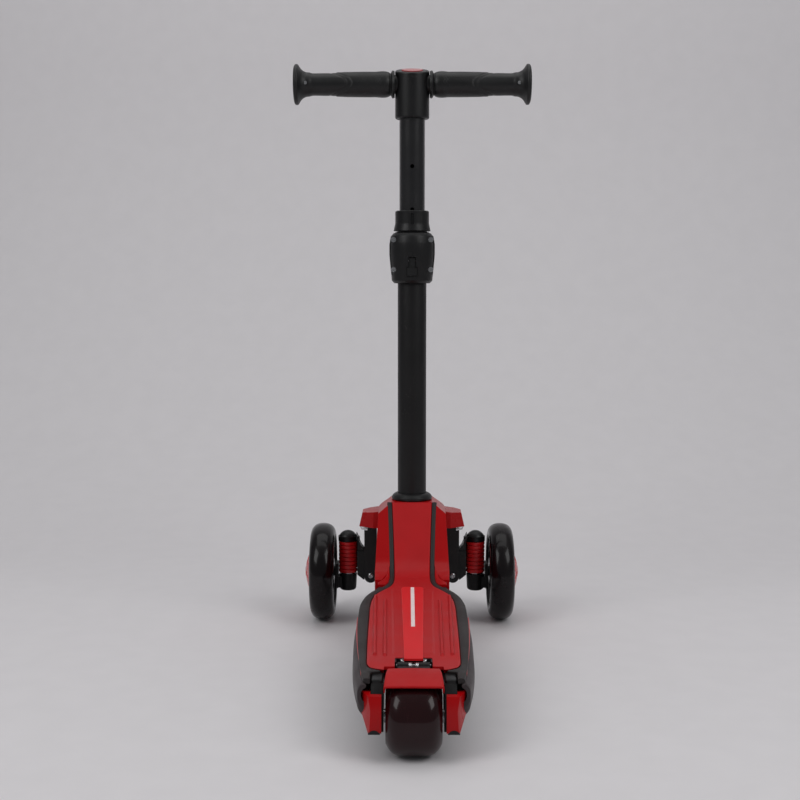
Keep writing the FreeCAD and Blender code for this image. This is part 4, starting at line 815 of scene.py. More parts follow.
@dataclass(frozen=True)
class SkinLine:
    """Side view of the deck and neck: a straight deck, a bend and a straight neck."""

    deck_y: float = 49.0
    deck_h: float = 84.6
    deck_slope: float = 0.03836
    neck_y: float = 140.0
    neck_h: float = 161.0
    neck_slope: float = 1.49
    bend: float = 42.0

    def corner(self) -> tuple[float, float]:
        """(y, z) where the two straights would meet."""
        y = ((self.neck_h - self.neck_slope * self.neck_y) - (self.deck_h - self.deck_slope * self.deck_y)) / (
            self.deck_slope - self.neck_slope)
        return y, self.deck_h + self.deck_slope * (y - self.deck_y)

    def turns(self) -> tuple[float, float]:
        """Angles of the deck and of the neck above the level."""
        return math.atan(self.deck_slope), math.atan(self.neck_slope)

    def at(self, s: np.ndarray, drop: np.ndarray | float = 0.0) -> tuple[np.ndarray, np.ndarray]:
        """Point of the line at length s from the start of the bend, moved in by drop.

        The bend is an arc: the point is its start plus the bend radius times the change of the sine and the
        cosine of the slope's angle.

        Args:
            s: length along the line, negative on the deck.
            drop: distance below the surface, square to it.

        Returns:
            The y and z of each point.
        """
        low, high = self.turns()
        y0, z0 = self.corner()
        reach = self.bend * math.tan((high - low) / 2)
        y0, z0 = y0 - reach * math.cos(low), z0 - reach * math.sin(low)
        arc = self.bend * (high - low)
        angle = low + np.clip(s, 0, arc) / self.bend
        y = y0 + self.bend * (np.sin(angle) - math.sin(low)) + np.minimum(s, 0) * math.cos(low)
        z = z0 + self.bend * (math.cos(low) - np.cos(angle)) + np.minimum(s, 0) * math.sin(low)
        past = np.maximum(s - arc, 0)
        y = y + past * math.cos(high) + np.sin(angle) * drop
        return y, z + past * math.sin(high) - np.cos(angle) * drop

    def length_to(self, y: float) -> float:
        """Length along the line at a place y, by looking it up in a fine table."""
        s = np.linspace(-400, 200, 6001)
        return float(np.interp(y, self.at(s)[0], s))

    def top(self, y: np.ndarray | float) -> np.ndarray | float:
        """Height of the straight deck at y."""
        return self.deck_h + self.deck_slope * (y - self.deck_y)


PANEL_RUN = [(-236.0, 41.4), (-222.0, 42.4), (-186.0, 43.4), (-81.0, 44.5), (-34.0, 44.5), (-10.0, 42.9), (9.0, 38.9),
             (24.0, 31.8), (36.0, 25.6), (50.0, 21.8), (70.0, 20.4), (92.0, 20.5), (116.0, 21.8), (142.0, 23.8)]
TRIM_RUN = [(-258.0, 44.5), (-236.0, 47.5), (-186.0, 51.6), (-131.0, 54.6), (-61.0, 56.0), (-24.0, 54.8), (9.0, 48.4),
            (24.0, 42.2), (36.0, 34.4), (50.0, 28.0), (70.0, 25.9), (94.0, 26.2), (116.0, 27.4), (142.0, 29.4)]
OPENING_RUN = [(9.0, 50.6), (40.0, 41.8), (62.0, 34.0), (78.0, 28.9), (94.0, 26.9), (116.0, 27.9), (142.0, 29.9)]
SKIRT_RUN = [(-259.0, 50.0), (-232.0, 54.0), (-161.0, 57.5), (-111.0, 58.5), (-63.0, 57.5), (-20.0, 56.6), (4.0, 53.5),
             (34.0, 46.0), (63.0, 41.5)]


@dataclass
class Deck:
    """Standing deck: red panel with its ribs, strip and inlay, dark border, skirt, pan and brake pocket."""

    layout: Layout
    line: SkinLine
    panel_thick: float = 3.0
    rib_height: float = 2.0
    rib_half: float = 2.1
    spine_half: float = 23.5
    spine_height: float = 0.7
    edge_roll: float = 1.6
    border_drop: float = 0.6
    border_thick: float = 5.0
    pocket_half: float = 17.3
    pocket_front: float = -203.0
    pocket_rear: float = -246.0
    pocket_floor: float = 64.6
    fender_room: float = 27.0
    strip_rear: float = -210.0
    strip_front: float = 30.0
    strip_half: tuple[float, float] = (8.75, 12.5)
    inlay_rear: float = -114.0
    inlay_front: float = 27.0
    inlay_half: float = 2.0
    inlay_proud: float = 1.7
    inlay_sunk: float = 0.4
    cheek_at: tuple[float, float, float] = (44.2, -216.0, 60.5)
    cheek_half: tuple[float, float, float] = (5.6, 22.0, 6.2)
    pan_low: float = 50.6
    pan_high: float = 53.6
    pan_rear: float = -187.5
    pan_front: float = 63.0

    def relief(self, x: np.ndarray, y: np.ndarray) -> np.ndarray:
        """Height of the ribs and the raised spine above the plain panel.

        A rib is a smooth step of the distance from its straight centre line; the spine is a smooth step of the
        distance from the middle that fades out towards the pocket and up the neck.

        Args:
            x: distance from the middle.
            y: place along the deck.

        Returns:
            Height at each point.
        """
        height = np.zeros_like(x)
        for x0, y0, x1, y1 in ((40.0, -3.0, 36.2, -194.0), (29.0, -19.0, 26.6, -196.0)):
            share = np.clip((y - y0) / (y1 - y0), 0, 1)
            off = np.hypot(np.abs(x) - (x0 + (x1 - x0) * share), y - (y0 + (y1 - y0) * share))
            height = np.maximum(height, self.rib_height * ease((self.rib_half - off) / 1.2))
        lean = np.clip((20.0 - y) / 220.0, 0, 1)
        step = ease((self.spine_half - 3.5 * lean - np.abs(x)) / 2.6)
        fade = ease((34.0 - y) / 26.0) * ease((y + 200.0) / 12.0)
        return np.maximum(height, self.spine_height * step * fade)

    def stretch(self, rear: float, front: float, count: int) -> np.ndarray:
        """Evenly spaced lengths along the deck line between two places y."""
        return np.linspace(self.line.length_to(rear), self.line.length_to(front), count)

    def along_line(self, s: np.ndarray, sections: np.ndarray) -> Surface:
        """Surface through (x, depth) sections set on the deck line at the lengths s."""
        y, z = self.line.at(s[:, None] * np.ones(sections.shape[1]), sections[..., 1])
        return grid_surface(np.stack([sections[..., 0], y, z], axis=-1), close_cols=True)

    def stem_room(self, radius: float) -> Surface:
        """Upright round cutter of the given radius where the stem passes through the neck."""
        profile = [(-60, 0), (-60, radius), (60, radius), (60, 0)]
        return turned(profile, (0, self.layout.stem_y, 150), Axis.Z, 64, False)

    def panel(self) -> bpy.types.Object:
        """Red panel: sections carried along the deck line, each with its relief on top and a rolled edge."""
        edge = np.array([0.955, 0.967, 0.978, 0.987, 0.994, 1.0])
        u = np.concatenate([-edge[::-1], np.linspace(-0.945, 0.945, 137), edge])
        v = np.linspace(0, 1, 250)[:, None]
        slant = run_through([(24.0, -236.0), (30.0, -235.2), (37.0, -231.5), (41.0, -226.0), (42.4, -218.0)],
                            np.abs(u) * 42.4)
        start = np.array([self.line.length_to(y) for y in (-236.0, -218.0)])
        s0 = np.interp(slant, [-236.0, -218.0], start)
        s = s0 + (self.line.length_to(139.8) - s0) * v
        y_line, _ = self.line.at(s)
        half = run_through(PANEL_RUN, y_line)
        x = u * half
        over = np.clip((np.abs(x) - (half - self.edge_roll)) / self.edge_roll, 0, 1)
        rise = self.relief(x, y_line) - self.edge_roll * 0.8 * (1 - np.sqrt(1 - 0.96 * over ** 2))
        y, z = self.line.at(s, -rise)
        top = np.stack([x, y, z], axis=-1)
        pick = np.linspace(0, len(u) - 1, 9).astype(int)[::-1]
        y, z = self.line.at(s[:, pick], self.panel_thick)
        under = np.stack([x[:, pick], y, z], axis=-1)
        piece = make_piece("deck_panel", [grid_surface(np.concatenate([top, under], axis=1), close_cols=True)])
        pocket_mid = (self.pocket_front + self.pocket_rear) / 2
        pocket = rounded_block((0, pocket_mid - 10, 75),
                               (self.pocket_half, self.pocket_front - pocket_mid + 10, 25), 2.2, Axis.Z)
        fender = rounded_block((0, -268, 75), (self.fender_room, 41, 25), 1.5, Axis.Z)
        return cut_away(piece, [pocket, fender, self.stem_room(20.4)])

    def strip(self) -> bpy.types.Object:
        """Lighter strip down the middle: its width tapers to the rear and its front corners are round."""
        s = self.stretch(self.strip_rear, self.strip_front, 160)[:, None]
        y_line, _ = self.line.at(s)
        half = np.interp(y_line, [self.strip_rear, self.strip_front], self.strip_half)
        round_in = np.clip((y_line - self.strip_front + 5.0) / 5.0, 0, 1)
        half = half - 5.0 * (1 - np.sqrt(1 - 0.98 * round_in ** 2))
        u = np.concatenate([[-1, -0.995, -0.98, -0.95], np.linspace(-0.9, 0.9, 9), [0.95, 0.98, 0.995, 1]])
        lip = np.array([0.0, 0.5, 0.85, 1.0] + [1.0] * 9 + [1.0, 0.85, 0.5, 0.0])
        height = -0.2 + 1.6 * lip * np.ones_like(s)
        y, z = self.line.at(s * np.ones_like(u), -height)
        top = np.stack([u * half, y, z], axis=-1)
        y, z = self.line.at(s * np.ones(2), 0.6)
        under = np.stack([np.array([1.0, -1.0]) * half, y, z], axis=-1)
        return make_piece("deck_strip", [grid_surface(np.concatenate([top, under], axis=1), close_cols=True)])

    def inlay(self) -> bpy.types.Object:
        """White line let into the strip."""
        s = self.stretch(self.inlay_rear, self.inlay_front, 60)
        wide, proud, sunk = self.inlay_half, self.inlay_proud, self.inlay_sunk
        outline = soft_outline(np.array([(-wide, -proud), (wide, -proud), (wide, sunk), (-wide, sunk)]), 0.35, 4)
        return make_piece("deck_inlay", [self.along_line(s, np.broadcast_to(outline, (len(s), *outline.shape)))])

    def border(self) -> bpy.types.Object:
        """Dark border: on each side a rounded band between the panel and the outer edge, from the rear to the
        top of the neck."""
        s = self.stretch(-257.0, 139.9, 220)
        y_line, _ = self.line.at(s)
        inner = run_through(PANEL_RUN, y_line) + 0.25
        slant = np.interp(y_line, [-257.0, -239.5, -236.5, -231.5, -226.0, -218.0],
                          [38.6, 38.6, 27.4, 37.3, 41.3, 42.6])
        inner = np.where(y_line < -218.0, slant, inner)
        outer = run_through(TRIM_RUN, y_line)
        drop = np.interp(y_line, [44.0, 70.0], [self.border_drop, -0.4])
        deep = drop + self.border_thick
        corners = [(inner, drop), ((inner + outer) / 2, drop - 0.35), (outer, drop + 0.2), (outer + 0.3, deep - 1),
                   (inner, deep)]
        piece = make_piece("deck_border", both_sides(self.along_line(s, sections_of(corners, 1.5, 5))))
        return cut_away(piece, [self.stem_room(20.6)])

    def neck_infill(self) -> bpy.types.Object:
        """Red band on each side between the border's outer edge and the edge of the hood, flush with the hood."""
        s = self.stretch(45.0, 96.0, 70)
        y_line, _ = self.line.at(s)
        inner = run_through(TRIM_RUN, y_line) + 0.1
        outer = np.clip(run_through(OPENING_RUN, y_line) + 1.2, inner + 0.8, 38.5)
        full = np.ones_like(inner)
        corners = [(inner, 0.1 * full), (outer, 0.1 * full), (outer, 2.6 * full), (inner, 3.6 * full)]
        return make_piece("neck_infill", both_sides(self.along_line(s, sections_of(corners, 0.6, 3))))

    def cheeks(self) -> bpy.types.Object:
        """Inner walls of the skirt beside the fork, a rounded block on each side."""
        block = rounded_block(self.cheek_at, self.cheek_half, 2.0, Axis.Y, 5)
        return make_piece("skirt_cheeks", both_sides(block))

    def skirt_sections(self, y: np.ndarray) -> np.ndarray:
        """Closed section of the skirt's wall at each y: under the border, out, down the bulge and round its foot.

        Args:
            y: places along the deck.

        Returns:
            (x, z) points, of shape (places, points, 2).
        """
        top = self.line.top(y) - 3.7
        low = np.interp(y, [-259.0, -254.0, -222.0, -186.0, 70.0], [44.0, 36.0, 39.0, 50.0, 50.5])
        out = run_through(SKIRT_RUN, y)
        edge = np.minimum(run_through(TRIM_RUN, y) + 0.4, out - 0.6)
        mid = (top + low) / 2
        corners = [(edge, top), (out - 0.4, top - 5.5), (out + 0.2, mid), (out - 1.4, low + 6.5), (out - 7.5, low),
                   (out - 11.0, low + 0.6), (out - 10.5, low + 3.2), (out - 5.2, low + 8.5), (out - 3.2, mid),
                   (out - 3.6, top - 6.5), (edge - 4.0, top - 2.6)]
        return sections_of(corners, 5.0, 5)

    def skirt(self) -> bpy.types.Object:
        """Dark skirt: a bulged wall on each side, deeper at the rear where it covers the fork."""
        y = np.concatenate([[-259.0, -258.6, -257.6], np.linspace(-256.0, 63.0, 130)])
        sections = self.skirt_sections(y)
        tuck = np.interp(y, [-259.0, -258.6, -257.6, -256.0], [0.93, 0.965, 0.99, 1.0])[:, None]
        middle = sections.mean(axis=1, keepdims=True)
        sections = middle + (sections - middle) * tuck[..., None]
        return make_piece("deck_skirt_shell", both_sides(along_y(y, sections)))

    def pan(self) -> bpy.types.Object:
        """Underside: a flat pan with cross ribs and screw bosses."""
        rear, front = self.pan_rear, self.pan_front
        y = np.concatenate([[rear, rear + 0.5, rear + 1.5], np.linspace(rear + 3.5, front - 3.0, 60),
                            [front - 1.0, front - 0.4, front]])
        half = run_through(SKIRT_RUN, y) - 9.0
        half = half - np.interp(y, [rear, rear + 3.5, front - 3.0, front], [3.0, 0.0, 0.0, 3.0])
        low, high = self.pan_low * np.ones_like(y), self.pan_high * np.ones_like(y)
        surfaces = [along_y(y, sections_of([(half, low), (half, high), (-half, high), (-half, low)], 1.2, 4))]
        for y0 in np.linspace(-168.0, 44.0, 8):
            wide = float(run_through(SKIRT_RUN, np.array(y0))) - 12.0
            surfaces.append(rounded_block((0, y0, 50.4), (wide, 1.0, 0.9), 0.6))
        for x0 in (-16.0, 16.0):
            surfaces.append(rounded_block((x0, -62.0, 50.4), (0.9, 112.0, 0.9), 0.6, Axis.Y))
            for y0 in (-152.0, -62.0, 28.0):
                boss = [(-2.0, 0), (-2.0, 4.2), (-1.4, 4.8), (0.8, 4.8), (0.8, 0)]
                surfaces.append(turned(boss, (x0 * 1.7, y0, self.pan_low), Axis.Z, 32, False))
        return make_piece("deck_pan", surfaces)

    def pocket(self) -> bpy.types.Object:
        """Black liner of the pocket: a tray with a thin wall, open to the rear where the brake comes in."""
        top = self.line.top(self.pocket_front) - 0.6
        front, rear = self.pocket_front, self.pocket_front - 15.5
        mid, half_y = (front + rear) / 2, (front - rear) / 2
        loops = [(1.6, self.pocket_floor + 1.0), (1.4, top), (0.1, top), (0.1, self.pocket_floor)]
        rings = []
        for inset, z in loops:
            a, b = self.pocket_half - inset, half_y - inset
            ring = soft_outline(np.array([(a, b), (-a, b), (-a, -b), (a, -b)]), 2.0, 5)
            rings.append(np.column_stack([ring[:, 0], ring[:, 1] + mid, np.full(len(ring), z)]))
        piece = make_piece("brake_pocket", [grid_surface(np.array(rings), close_cols=True)])
        return cut_away(piece, [rounded_block((0, rear - 3, 75.0), (self.pocket_half + 2, 6.5, 14.0), 0.5)])

    def build(self) -> None:
        """Build and dress the deck."""
        settle(self.panel(), "deck", DECK_RED, "top_panel")
        settle(self.strip(), "deck", STRIP_RED, "middle_strip")
        settle(self.inlay(), "deck", INLAY_WHITE, "white_stripe")
        settle(self.border(), "deck", BORDER_DARK, "border_trim")
        settle(self.skirt(), "deck", SKIRT_DARK, "deck_skirt")
        settle(self.cheeks(), "deck", SKIRT_DARK)
        settle(self.neck_infill(), "deck", HOOD_RED)
        settle(self.pan(), "deck", SHELL_BLACK)
        settle(self.pocket(), "deck", SHELL_BLACK)
        keep_nodes(LINE_PINK, "pinstripe")
        keep_nodes(CASTING, "chassis")


@dataclass
class RearEnd:
    """Fork arms, axle caps, rear wheel and the foot brake."""

    layout: Layout
    tyre_half: float = 25.0
    core_r: float = 24.0
    fender_in: float = 38.6
    fender_thick: float = 2.4
    fender_half: float = 26.6
    fender_back: float = -34.0
    fender_front: float = 24.5
    hinge_y: float = -212.0
    hinge_h: float = 70.0
    barrel_r: float = 3.4
    wire_r: float = 0.75
    block_at: tuple[float, float] = (32.8, 63.5)
    block_half: tuple[float, float, float] = (5.3, 11.5, 7.2)

    def tyre(self) -> bpy.types.Object:
        """Rear tyre: a crowned tread that rolls over into flat sides, turned about the axle."""
        half, radius, core = self.tyre_half, self.layout.rear_r, self.core_r
        t = np.linspace(-1, 1, 61)
        tread = np.stack([half * np.sign(t) * np.abs(t) ** 0.9, radius - 11.0 * np.abs(t) ** 4.2], axis=-1)
        profile = np.vstack([[(-half + 0.6, core)], tread, [(half - 0.6, core)]])
        return make_piece("rear_tyre_cast", [turned(profile, (0, self.layout.rear_y, radius), Axis.X, 160)])

    def fender(self) -> bpy.types.Object:
        """Brake fender: a channel section carried round the wheel, with rolled side lips.

        The section at each angle has a crown with round shoulders and two lips that hang beside the wheel and
        shorten towards the front edge.
        """
        angle = np.radians(np.concatenate([[self.fender_back - 0.9, self.fender_back - 0.6],
                                           np.linspace(self.fender_back, self.fender_front, 60),
                                           [self.fender_front + 0.6, self.fender_front + 0.9]]))
        thin = np.concatenate([[0.25, 0.75], np.ones(60), [0.75, 0.25]])
        thick = self.fender_thick
        turn = np.degrees(angle)
        out = np.interp(turn, [self.fender_back, self.fender_front], [self.fender_half, self.fender_half - 3.3])
        lip = np.interp(turn, [self.fender_back, 2.0, 14.0, self.fender_front], [8.5, 8.5, 4.0, thick + 0.4])
        full = np.ones_like(angle)
        mid, half_t = -thick / 2, thick / 2 * thin
        corners = [(-out, -lip), (-out, mid + half_t), (0 * full, mid + half_t + 0.5), (out, mid + half_t),
                   (out, -lip), (out - 1.2, -lip), (out - 1.4, mid - half_t), (0 * full, mid - half_t),
                   (1.4 - out, mid - half_t), (1.2 - out, -lip)]
        sections = sections_of(corners, 2.6, 6)
        radius = self.fender_in + thick + sections[..., 1]
        points = np.stack([sections[..., 0], self.layout.rear_y + radius * np.sin(angle)[:, None],
                           self.layout.rear_r + radius * np.cos(angle)[:, None]], axis=-1)
        return make_piece("brake_fender_shell", [grid_surface(points, close_cols=True)])

    def hinge_plate(self) -> bpy.types.Object:
        """Black hinge plate under the fender's front edge, with its two barrels round the pin."""
        y_rear = self.layout.rear_y + 17.0
        plate = rounded_block((0, (y_rear + self.hinge_y) / 2, self.hinge_h - 0.2),
                              (15.0, (self.hinge_y - y_rear) / 2, 1.3), 0.7)
        outline = np.array([(4.6, 1.7), (4.6, self.barrel_r), (15.0, self.barrel_r), (15.0, 1.7)])
        barrel = turned(soft_outline(outline, 0.5, 4), (0, self.hinge_y, self.hinge_h), Axis.X, 40)
        return make_piece("brake_hinge_plate", [plate] + both_sides(barrel))

    def spring(self) -> bpy.types.Object:
        """Brake spring: two close coils round the pin, with curved ends that bow out under the strip's tab.

        A coil is a circle round the pin that moves along it by one wire for each turn; its end is a bow, half a
        sine wide, from the coil to the front of the pocket.
        """
        turn = np.linspace(0, 2.2 * FULL_TURN, 90)
        coil = np.stack([1.1 + 1.55 * turn / FULL_TURN, self.hinge_y + 2.55 * np.sin(turn),
                         self.hinge_h + 2.55 * np.cos(turn)], axis=-1)
        t = np.linspace(0, 1, 26)[:, None]
        start, end = coil[-1], np.array([8.2, self.hinge_y + 7.4, self.hinge_h + 3.4])
        bow = start + (end - start) * t + np.array([5.0, 0, 1.4]) * np.sin(math.pi * t)
        wire = swept_tube(np.vstack([coil, bow[1:]]), self.wire_r, 10)
        return make_piece("brake_spring_wire", both_sides(wire))

    def axle_dress(self) -> bpy.types.Object:
        """Hexagon socket screw at each end of the rear axle, seen in the cap's notch."""
        cap = carried(hexagon(5.6, 0.8), np.array([38.4, 38.8, 42.2, 42.8]), np.array([0.94, 1.0, 1.0, 0.9]),
                      (0, self.layout.rear_y, self.layout.rear_r), Axis.X)
        return make_piece("axle_nuts", both_sides(cap))

    def pod_notch_shade(self) -> bpy.types.Object:
        """Painted shade in the half-round notch at the foot of each axle cap: a black half disc carried a little way
        along Y.
        """
        angle = np.linspace(0, math.pi, 25)
        outline = np.column_stack([25.05 + 5.3 * np.sin(angle), 35.0 + 5.3 * np.cos(angle)])
        back = self.layout.rear_y - 24.0
        stations = np.array([back + 3.2, back + 3.4, back + 5.0, back + 5.2])
        disc = carried(outline, stations, np.ones(4), (0, 0, 0), Axis.Y)
        return make_piece("pod_notch_shade", both_sides(disc))

    def fork_caps(self) -> bpy.types.Object:
        """Black block on each side between the fender and the skirt, over the fork arm."""
        x, z = self.block_at
        block = rounded_block((x, self.layout.rear_y + 2.5, z), self.block_half, 2.0, Axis.Y, 5)
        return make_piece("fork_caps", both_sides(block))

    def build(self) -> None:
        """Build and dress the rear end."""
        settle_soft("fork_arms", "fork_arm_pair", 1.2, "deck", CASTING)
        settle_soft("rear_pods", "rear_pod_pair", 0.8, "deck", HOOD_RED)
        settle(self.tyre(), "rear_wheel", TYRE_MAROON, "rear_tyre")
        settle(self.fender(), "brake", DECK_RED, "brake_fender")
        settle(self.hinge_plate(), "brake", SHELL_BLACK)
        settle(self.spring(), "deck", SPRING, "brake_spring")
        settle(self.axle_dress(), "deck", STEEL)
        # black half discs: painted shade in the axle caps' notches
        settle(self.pod_notch_shade(), "deck", SHELL_BLACK)
        settle(self.fork_caps(), "deck", SHELL_BLACK)
        keep_nodes(STEEL, "rear_axle", "brake_pad", "brake_hinge_pin")
        keep_nodes(CORE_BLACK, "rear_wheel_core")
        keep_nodes(RACE_STEEL, "rear_bearings")


@dataclass
class Hood:
    """Neck hood with its wings, lenses and the ring at the foot of the stem."""

    layout: Layout
    ring_base: float = 161.2
    ring_r: float = 24.3
    tube_r: float = 17.1

    def ring(self) -> bpy.types.Object:
        """Ring round the foot of the stem: a rounded step with a groove, turned about the stem."""
        r = self.ring_r
        profile = np.array([(0.0, self.tube_r), (0.0, r - 0.8), (1.0, r - 0.2), (3.6, r), (4.2, r - 0.9),
                            (5.0, r - 1.0), (6.8, r - 3.0), (8.1, self.tube_r + 1.6), (8.3, self.tube_r)])
        centre = (0, self.layout.stem_y, self.ring_base)
        return make_piece("stem_ring", [turned(soft_outline(profile, 0.9, 4), centre, Axis.Z)])

    def build(self) -> None:
        """Build and dress the hood."""
        settle_soft("hood", "neck_hood", 3.4, "deck", HOOD_RED, 5)
        settle_soft("hood_wings", "hood_wing_pair", 0.8, "deck", HOOD_RED)
        settle_soft("wing_lenses", "wing_lens_pair", 0.5, "deck", LENS_CLEAR)
        settle(self.ring(), "deck", SHELL_BLACK, "stem_bezel")


@dataclass
class Stem:
    """Lower tube, height adjuster and its lever."""

    layout: Layout
    lower_r: float = 17.0
    lower_bore: float = 15.4
    lower_low: float = 84.0
    lower_high: float = 448.0
    house_low: float = 420.0
    house_r: float = 27.0
    rail_r: float = 1.15
    coil_wire: float = 0.4
    coil_keep: float = 0.42

    def lower_tube(self) -> bpy.types.Object:
        """Lower tube, with eased ends."""
        low, high = self.lower_low, self.lower_high
        profile = np.array([(low, self.lower_bore), (low, self.lower_r), (high, self.lower_r), (high, self.lower_bore)])
        surface = turned(soft_outline(profile, 0.5, 4), (0, self.layout.stem_y, 0), Axis.Z)
        return make_piece("stem_lower_tube", [surface])

    def rails(self) -> bpy.types.Object:
        """Raised rib down each side of the housing, where its rear plate ends."""
        h = np.linspace(10.0, 51.0, 40)
        radius = run_through([(9.0, self.house_r - 2.4), (22.0, self.house_r - 1.0), (34.0, self.house_r),
                              (46.0, self.house_r), (55.0, self.house_r - 1.6)], h)
        x = radius * math.cos(math.radians(17)) - 0.5
        y = self.layout.stem_y - radius * math.sin(math.radians(17))
        path = np.stack([x, y, self.house_low + h], axis=-1)
        return make_piece("housing_rails", both_sides(swept_tube(path, self.rail_r, 14)))

    def button_coil(self) -> bpy.types.Object:
        """Small coil spring between the lever's foot and the upper tube, a helix along Y."""
        low, high = node_box("lever_spring")
        turn = np.linspace(0, 3 * FULL_TURN, 109)
        mid_h = (low[2] + high[2]) / 2
        radius = (high[0] - low[0]) / 2 - self.coil_wire
        y = np.linspace(low[1] + self.coil_wire, high[1] - self.coil_wire, len(turn))
        path = np.stack([radius * np.cos(turn), y, mid_h + radius * np.sin(turn)], axis=-1)
        return make_piece("lever_coil", [swept_tube(path, self.coil_wire, 10)])

    def build(self) -> None:
        """Build and dress the stem."""
        settle(self.lower_tube(), "deck", TUBE_BLACK, "lower_tube")
        settle_soft("housing_rear", "adjuster_rear", 0.45, "deck", SHELL_BLACK)
        settle_soft("housing_front", "adjuster_front", 0.45, "deck", SHELL_BLACK)
        settle(self.rails(), "deck", SHELL_BLACK)
        settle_soft("collar", "adjuster_collar", 0.4, "deck", SHELL_BLACK)
        settle_soft("release_lever", "lever_button", 0.6, "lever", GRIP_BLACK)
        keep_nodes(STEEL, "housing_screws", "lever_pin", "lock_pin")
        keep_nodes(SLIDER_WHITE, "guide_bush")
        coil = settle(self.button_coil(), "deck", SPRING, "lever_spring")
        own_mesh(coil)


@dataclass
class TBar:
    """Upper tube, T-head and grips, which rise and fall together."""

    layout: Layout
    grip_start: float = 20.6
    grip_end: float = 138.5
    flange_r: float = 23.4
    bore_r: float = 11.05

    def grip(self, side: Side) -> bpy.types.Object:
        """Moulded grip: a turned profile whose radius steps down along a wavy line, with small pads set in it.

        The step's place along the grip is a wave of two lobes round it, so it reads as swept feathers; rows of
        shallow pads, a product of two waves, cover the palm side.

        Args:
            side: which end of the bar.

        Returns:
            The grip.
        """
        start, end = self.grip_start, self.grip_end
        x = np.concatenate([np.linspace(start, start + 6, 14), np.linspace(start + 6.5, end - 16, 150),
                            np.linspace(end - 15.6, end - 5, 26)])
        angle = np.linspace(0, FULL_TURN, 120, endpoint=False)
        flange = self.flange_r
        base = run_through([(start, 15.3), (start + 3.2, 15.4), (start + 4.6, 12.9), (start + 6.4, 13.8),
                            (start + 24, 14.4), (start + 54, 14.2), (start + 82, 13.7), (end - 19, 13.8),
                            (end - 13, 14.6), (end - 8, 18.2), (end - 5, flange - 0.6)], x)
        grid_x = x[:, None] * np.ones_like(angle)
        wave = start + 58 + 9.5 * np.cos(2 * angle)
        step = 0.75 * ease((grid_x - wave) / 2.2) * ease((end - 17 - grid_x) / 5.0)
        wave_two = start + 66 + 9.5 * np.cos(2 * angle)
        groove = 0.45 * np.exp(-((grid_x - wave_two) / 1.4) ** 2)
        pads = 0.22 * ease((np.sin(grid_x * 1.9) * np.sin(angle * 18) - 0.05) / 0.5)
        pads *= ease((wave - 4 - grid_x) / 4.0) * ease((grid_x - start - 12) / 4.0)
        radius = base[:, None] - step - groove + pads
        outer = rings_along_x(grid_x, radius, angle)
        tail = soft_outline(np.array([(end - 5, flange - 0.6), (end - 4, flange), (end - 1.6, flange),
                                      (end - 0.1, flange - 2.4), (end - 0.2, 7.0), (end - 1.6, 5.0),
                                      (end - 5.0, 5.0), (end - 5.5, self.bore_r), (start, self.bore_r)]),
                            1.0, 4, False)
        rest = rings_along_x(tail[:, :1], tail[:, 1:], angle)
        points = np.concatenate([outer, rest[3:]], axis=0) + np.array([0, self.layout.stem_y, self.layout.bar_h])
        surface = grid_surface(points, close_rows=True, close_cols=True)
        return make_piece("grip_" + side.word, [surface if side is Side.RIGHT else flipped(surface)])

    def build(self) -> None:
        """Build and dress the T-bar."""
        for finish, node in ((TUBE_GLOSS, "upper_tube"), (SLIDER_WHITE, "tube_plug"), (SHELL_BLACK, "t_head"),
                             (HUB_RED, "head_badge"), (TUBE_BLACK, "handle_core"), (STEEL, "grip_screws")):
            keep_nodes(finish, node)
        right = settle(self.grip(Side.RIGHT), "t_bar", GRIP_BLACK, "grips")
        left = settle(self.grip(Side.LEFT), "t_bar", GRIP_BLACK)
        LOG.info("grips %s and %s stand for one packed node", right.name, left.name)


